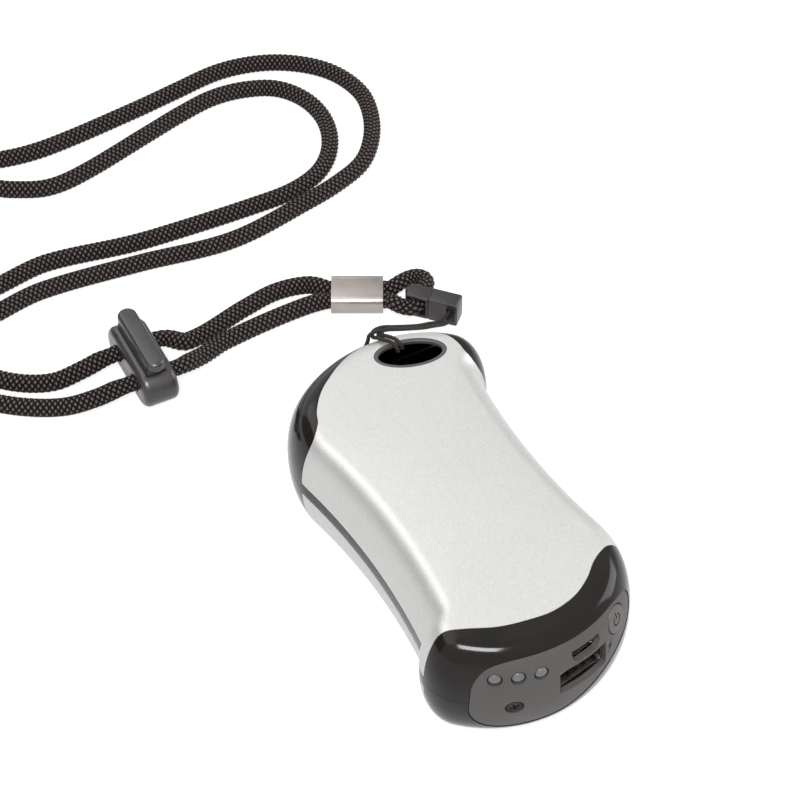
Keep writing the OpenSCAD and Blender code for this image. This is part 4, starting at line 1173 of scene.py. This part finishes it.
for name, dark, light, rough, grain_size, grain_depth, cloud_size, more, parts in (
        ("green board", (0.012, 0.085, 0.030), (0.022, 0.120, 0.045), (0.26, 0.36), 0.5, 0.006, 5,
         {"coat": 0.3}, ["main_board"]),
        ("chip black", (0.020, 0.020, 0.021), (0.032, 0.032, 0.033), (0.36, 0.46), 0.2, 0.004, 3,
         {}, ["board_parts", "heat_sensor"]),
        ("switch housing", (0.56, 0.56, 0.55), (0.66, 0.66, 0.65), (0.24, 0.34), 0.2, 0.003, 2,
         {"metallic": 1.0}, ["switch_body"]),
        ("led cream", (0.74, 0.71, 0.56), (0.84, 0.82, 0.70), (0.34, 0.44), 0.2, 0.003, 1,
         {}, ["indicator_leds"]),
        ("shrink sleeve blue", (0.020, 0.100, 0.30), (0.028, 0.130, 0.38), (0.20, 0.32), 1.2, 0.02, 10,
         {"coat": 0.2}, ["battery_cell_left", "battery_cell_right"]),
        ("nickel strip", (0.58, 0.56, 0.52), (0.68, 0.66, 0.61), (0.22, 0.34), 0.3, 0.004, 4,
         {"metallic": 1.0, "stretch": (0.2, 1, 1)}, ["battery_straps"]),
        ("cradle plastic", (0.030, 0.030, 0.031), (0.045, 0.045, 0.046), (0.44, 0.56), 0.3, 0.01, 8,
         {}, ["battery_cradle"]),
        ("amber film", (0.42, 0.17, 0.025), (0.55, 0.25, 0.045), (0.18, 0.28), 0.8, 0.006, 8,
         {"coat": 0.3}, ["top_heater", "bottom_heater"]),
        ("silicone lead", (0.30, 0.020, 0.016), (0.38, 0.032, 0.026), (0.42, 0.54), 0.3, 0.004, 4,
         {}, ["lead_wires"]),
        ("spring wire", (0.46, 0.46, 0.46), (0.60, 0.60, 0.60), (0.22, 0.32), 0.2, 0.003, 2,
         {"metallic": 1.0}, ["cord_lock_spring"])):
    refinish(surface(name, dark, light, rough, grain_size, grain_depth, cloud_size, **more), *parts)
refinish(port_black, "switch_stem")
frame_screws = None
for x, y in post_places:
    frame_screw = cross_screw("frame screws", 1.85, 1.3, 0.92, 14.65)
    frame_screw.data.transform(Matrix.Translation(Vector((x, y, 1.55)) * MM) @ Matrix.Rotation(math.pi, 4, "X"))
    if frame_screws is None:
        frame_screws = frame_screw
    else:
        cut(frame_screws, frame_screw, "UNION")
dress(frame_screws, screw_steel, "steel", "warmer", "frame_screws")


# Free cords: the tether leaves the eye of the buckle and goes back into it, and
# the neck cord leaves the crimp sleeve and goes back into it.
tuple(tether_line[0])
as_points(tether_line)
tuple(neck_line[0])
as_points(neck_line)


# Table, light and background: a white table that fades into a white room, a
# large soft light from behind, a small one in front and one from the right.
clear_selection()
bpy.ops.mesh.primitive_plane_add(size=6, location=(0, 0, 0))
table = settle("table")
table_white, tree, shader = new_material("white table")
shader.inputs["Base Color"].default_value = (0.45, 0.45, 0.45, 1)
shader.inputs["Roughness"].default_value = 0.9
shader.inputs["Specular IOR Level"].default_value = 0.1
seen = tree.nodes.new("ShaderNodeBsdfDiffuse")
seen.inputs["Color"].default_value = (0.30, 0.30, 0.30, 1)
shine = tree.nodes.new("ShaderNodeEmission")
shine.inputs["Color"].default_value = (1, 1, 1, 1)
shine.inputs["Strength"].default_value = 0.76
added, mixed = tree.nodes.new("ShaderNodeAddShader"), tree.nodes.new("ShaderNodeMixShader")
rays = tree.nodes.new("ShaderNodeLightPath")
tree.links.new(seen.outputs[0], added.inputs[0])
tree.links.new(shine.outputs[0], added.inputs[1])
op = math_chain(tree)
tree.links.new(op("MAXIMUM", rays.outputs["Is Camera Ray"], rays.outputs["Is Glossy Ray"]), mixed.inputs[0])
tree.links.new(shader.outputs[0], mixed.inputs[1])
tree.links.new(added.outputs[0], mixed.inputs[2])
tree.links.new(mixed.outputs[0], tree.nodes["Material Output"].inputs[0])
table.data.materials.append(table_white)
table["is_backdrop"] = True


def soft_light(name, watts, size, place, aim=(0, 0, 0.01)):
    clear_selection()
    bpy.ops.object.light_add(type="AREA", location=place)
    lamp = bpy.context.object
    lamp.name = name
    lamp.data.shape = "RECTANGLE"
    lamp.data.energy, lamp.data.size, lamp.data.size_y = watts, *size
    lamp.rotation_euler = (Vector(place) - Vector(aim)).to_track_quat("Z", "Y").to_euler()
    return lamp


soft_light("key light", 8.5, (1.5, 1.2), (-0.55, 0.5, 0.85))
soft_light("window light", 10.0, (0.36, 0.28), (-0.26, -0.46, 0.78))
soft_light("fill light", 5.0, (0.7, 0.5), (0.85, 0.1, 0.35))

# Two grey cards stand low behind the warmer: their reflections give the skins
# the darker band below the fold and the softer tone along the right edge.
card_height = 0.26
for name, tone, turned_by, distance, wide in (("left card", 0.16, 150, 0.75, 0.9),
                                              ("right card", 0.62, 40, 0.8, 0.8)):
    clear_selection()
    way = Vector((math.cos(math.radians(turned_by)), math.sin(math.radians(turned_by)), 0))
    bpy.ops.mesh.primitive_plane_add(size=1, location=way * distance + Vector((0, 0, card_height / 2)),
                                     rotation=(math.pi / 2, 0, math.radians(turned_by - 90)),
                                     scale=(wide, card_height, 1))
    card = settle(name)
    grey, tree, shader = new_material(name)
    shader.inputs["Base Color"].default_value = (tone, tone, tone, 1)
    shader.inputs["Roughness"].default_value = 0.9
    card.data.materials.append(grey)
    card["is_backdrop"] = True

room = bpy.data.worlds.new("white room")
bpy.context.scene.world = room
room.use_nodes = True
tree = room.node_tree
air = tree.nodes["Background"]
air.inputs["Color"].default_value = (1, 1, 1, 1)
rays = tree.nodes.new("ShaderNodeLightPath")
op = math_chain(tree)
bright = op("MAXIMUM", rays.outputs["Is Camera Ray"], rays.outputs["Is Glossy Ray"])
bright = op("MAXIMUM", bright, rays.outputs["Is Transmission Ray"])
plain_level = 0.4
tree.links.new(op("ADD", op("MULTIPLY", bright, 1 - plain_level), plain_level), air.inputs["Strength"])
bpy.context.scene.view_settings.view_transform = "Standard"

({"cad_box": [list(v) if hasattr(v, "__len__") else v for v in cad_box],
           "visual_box": [list(v) if hasattr(v, "__len__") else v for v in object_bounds()]})
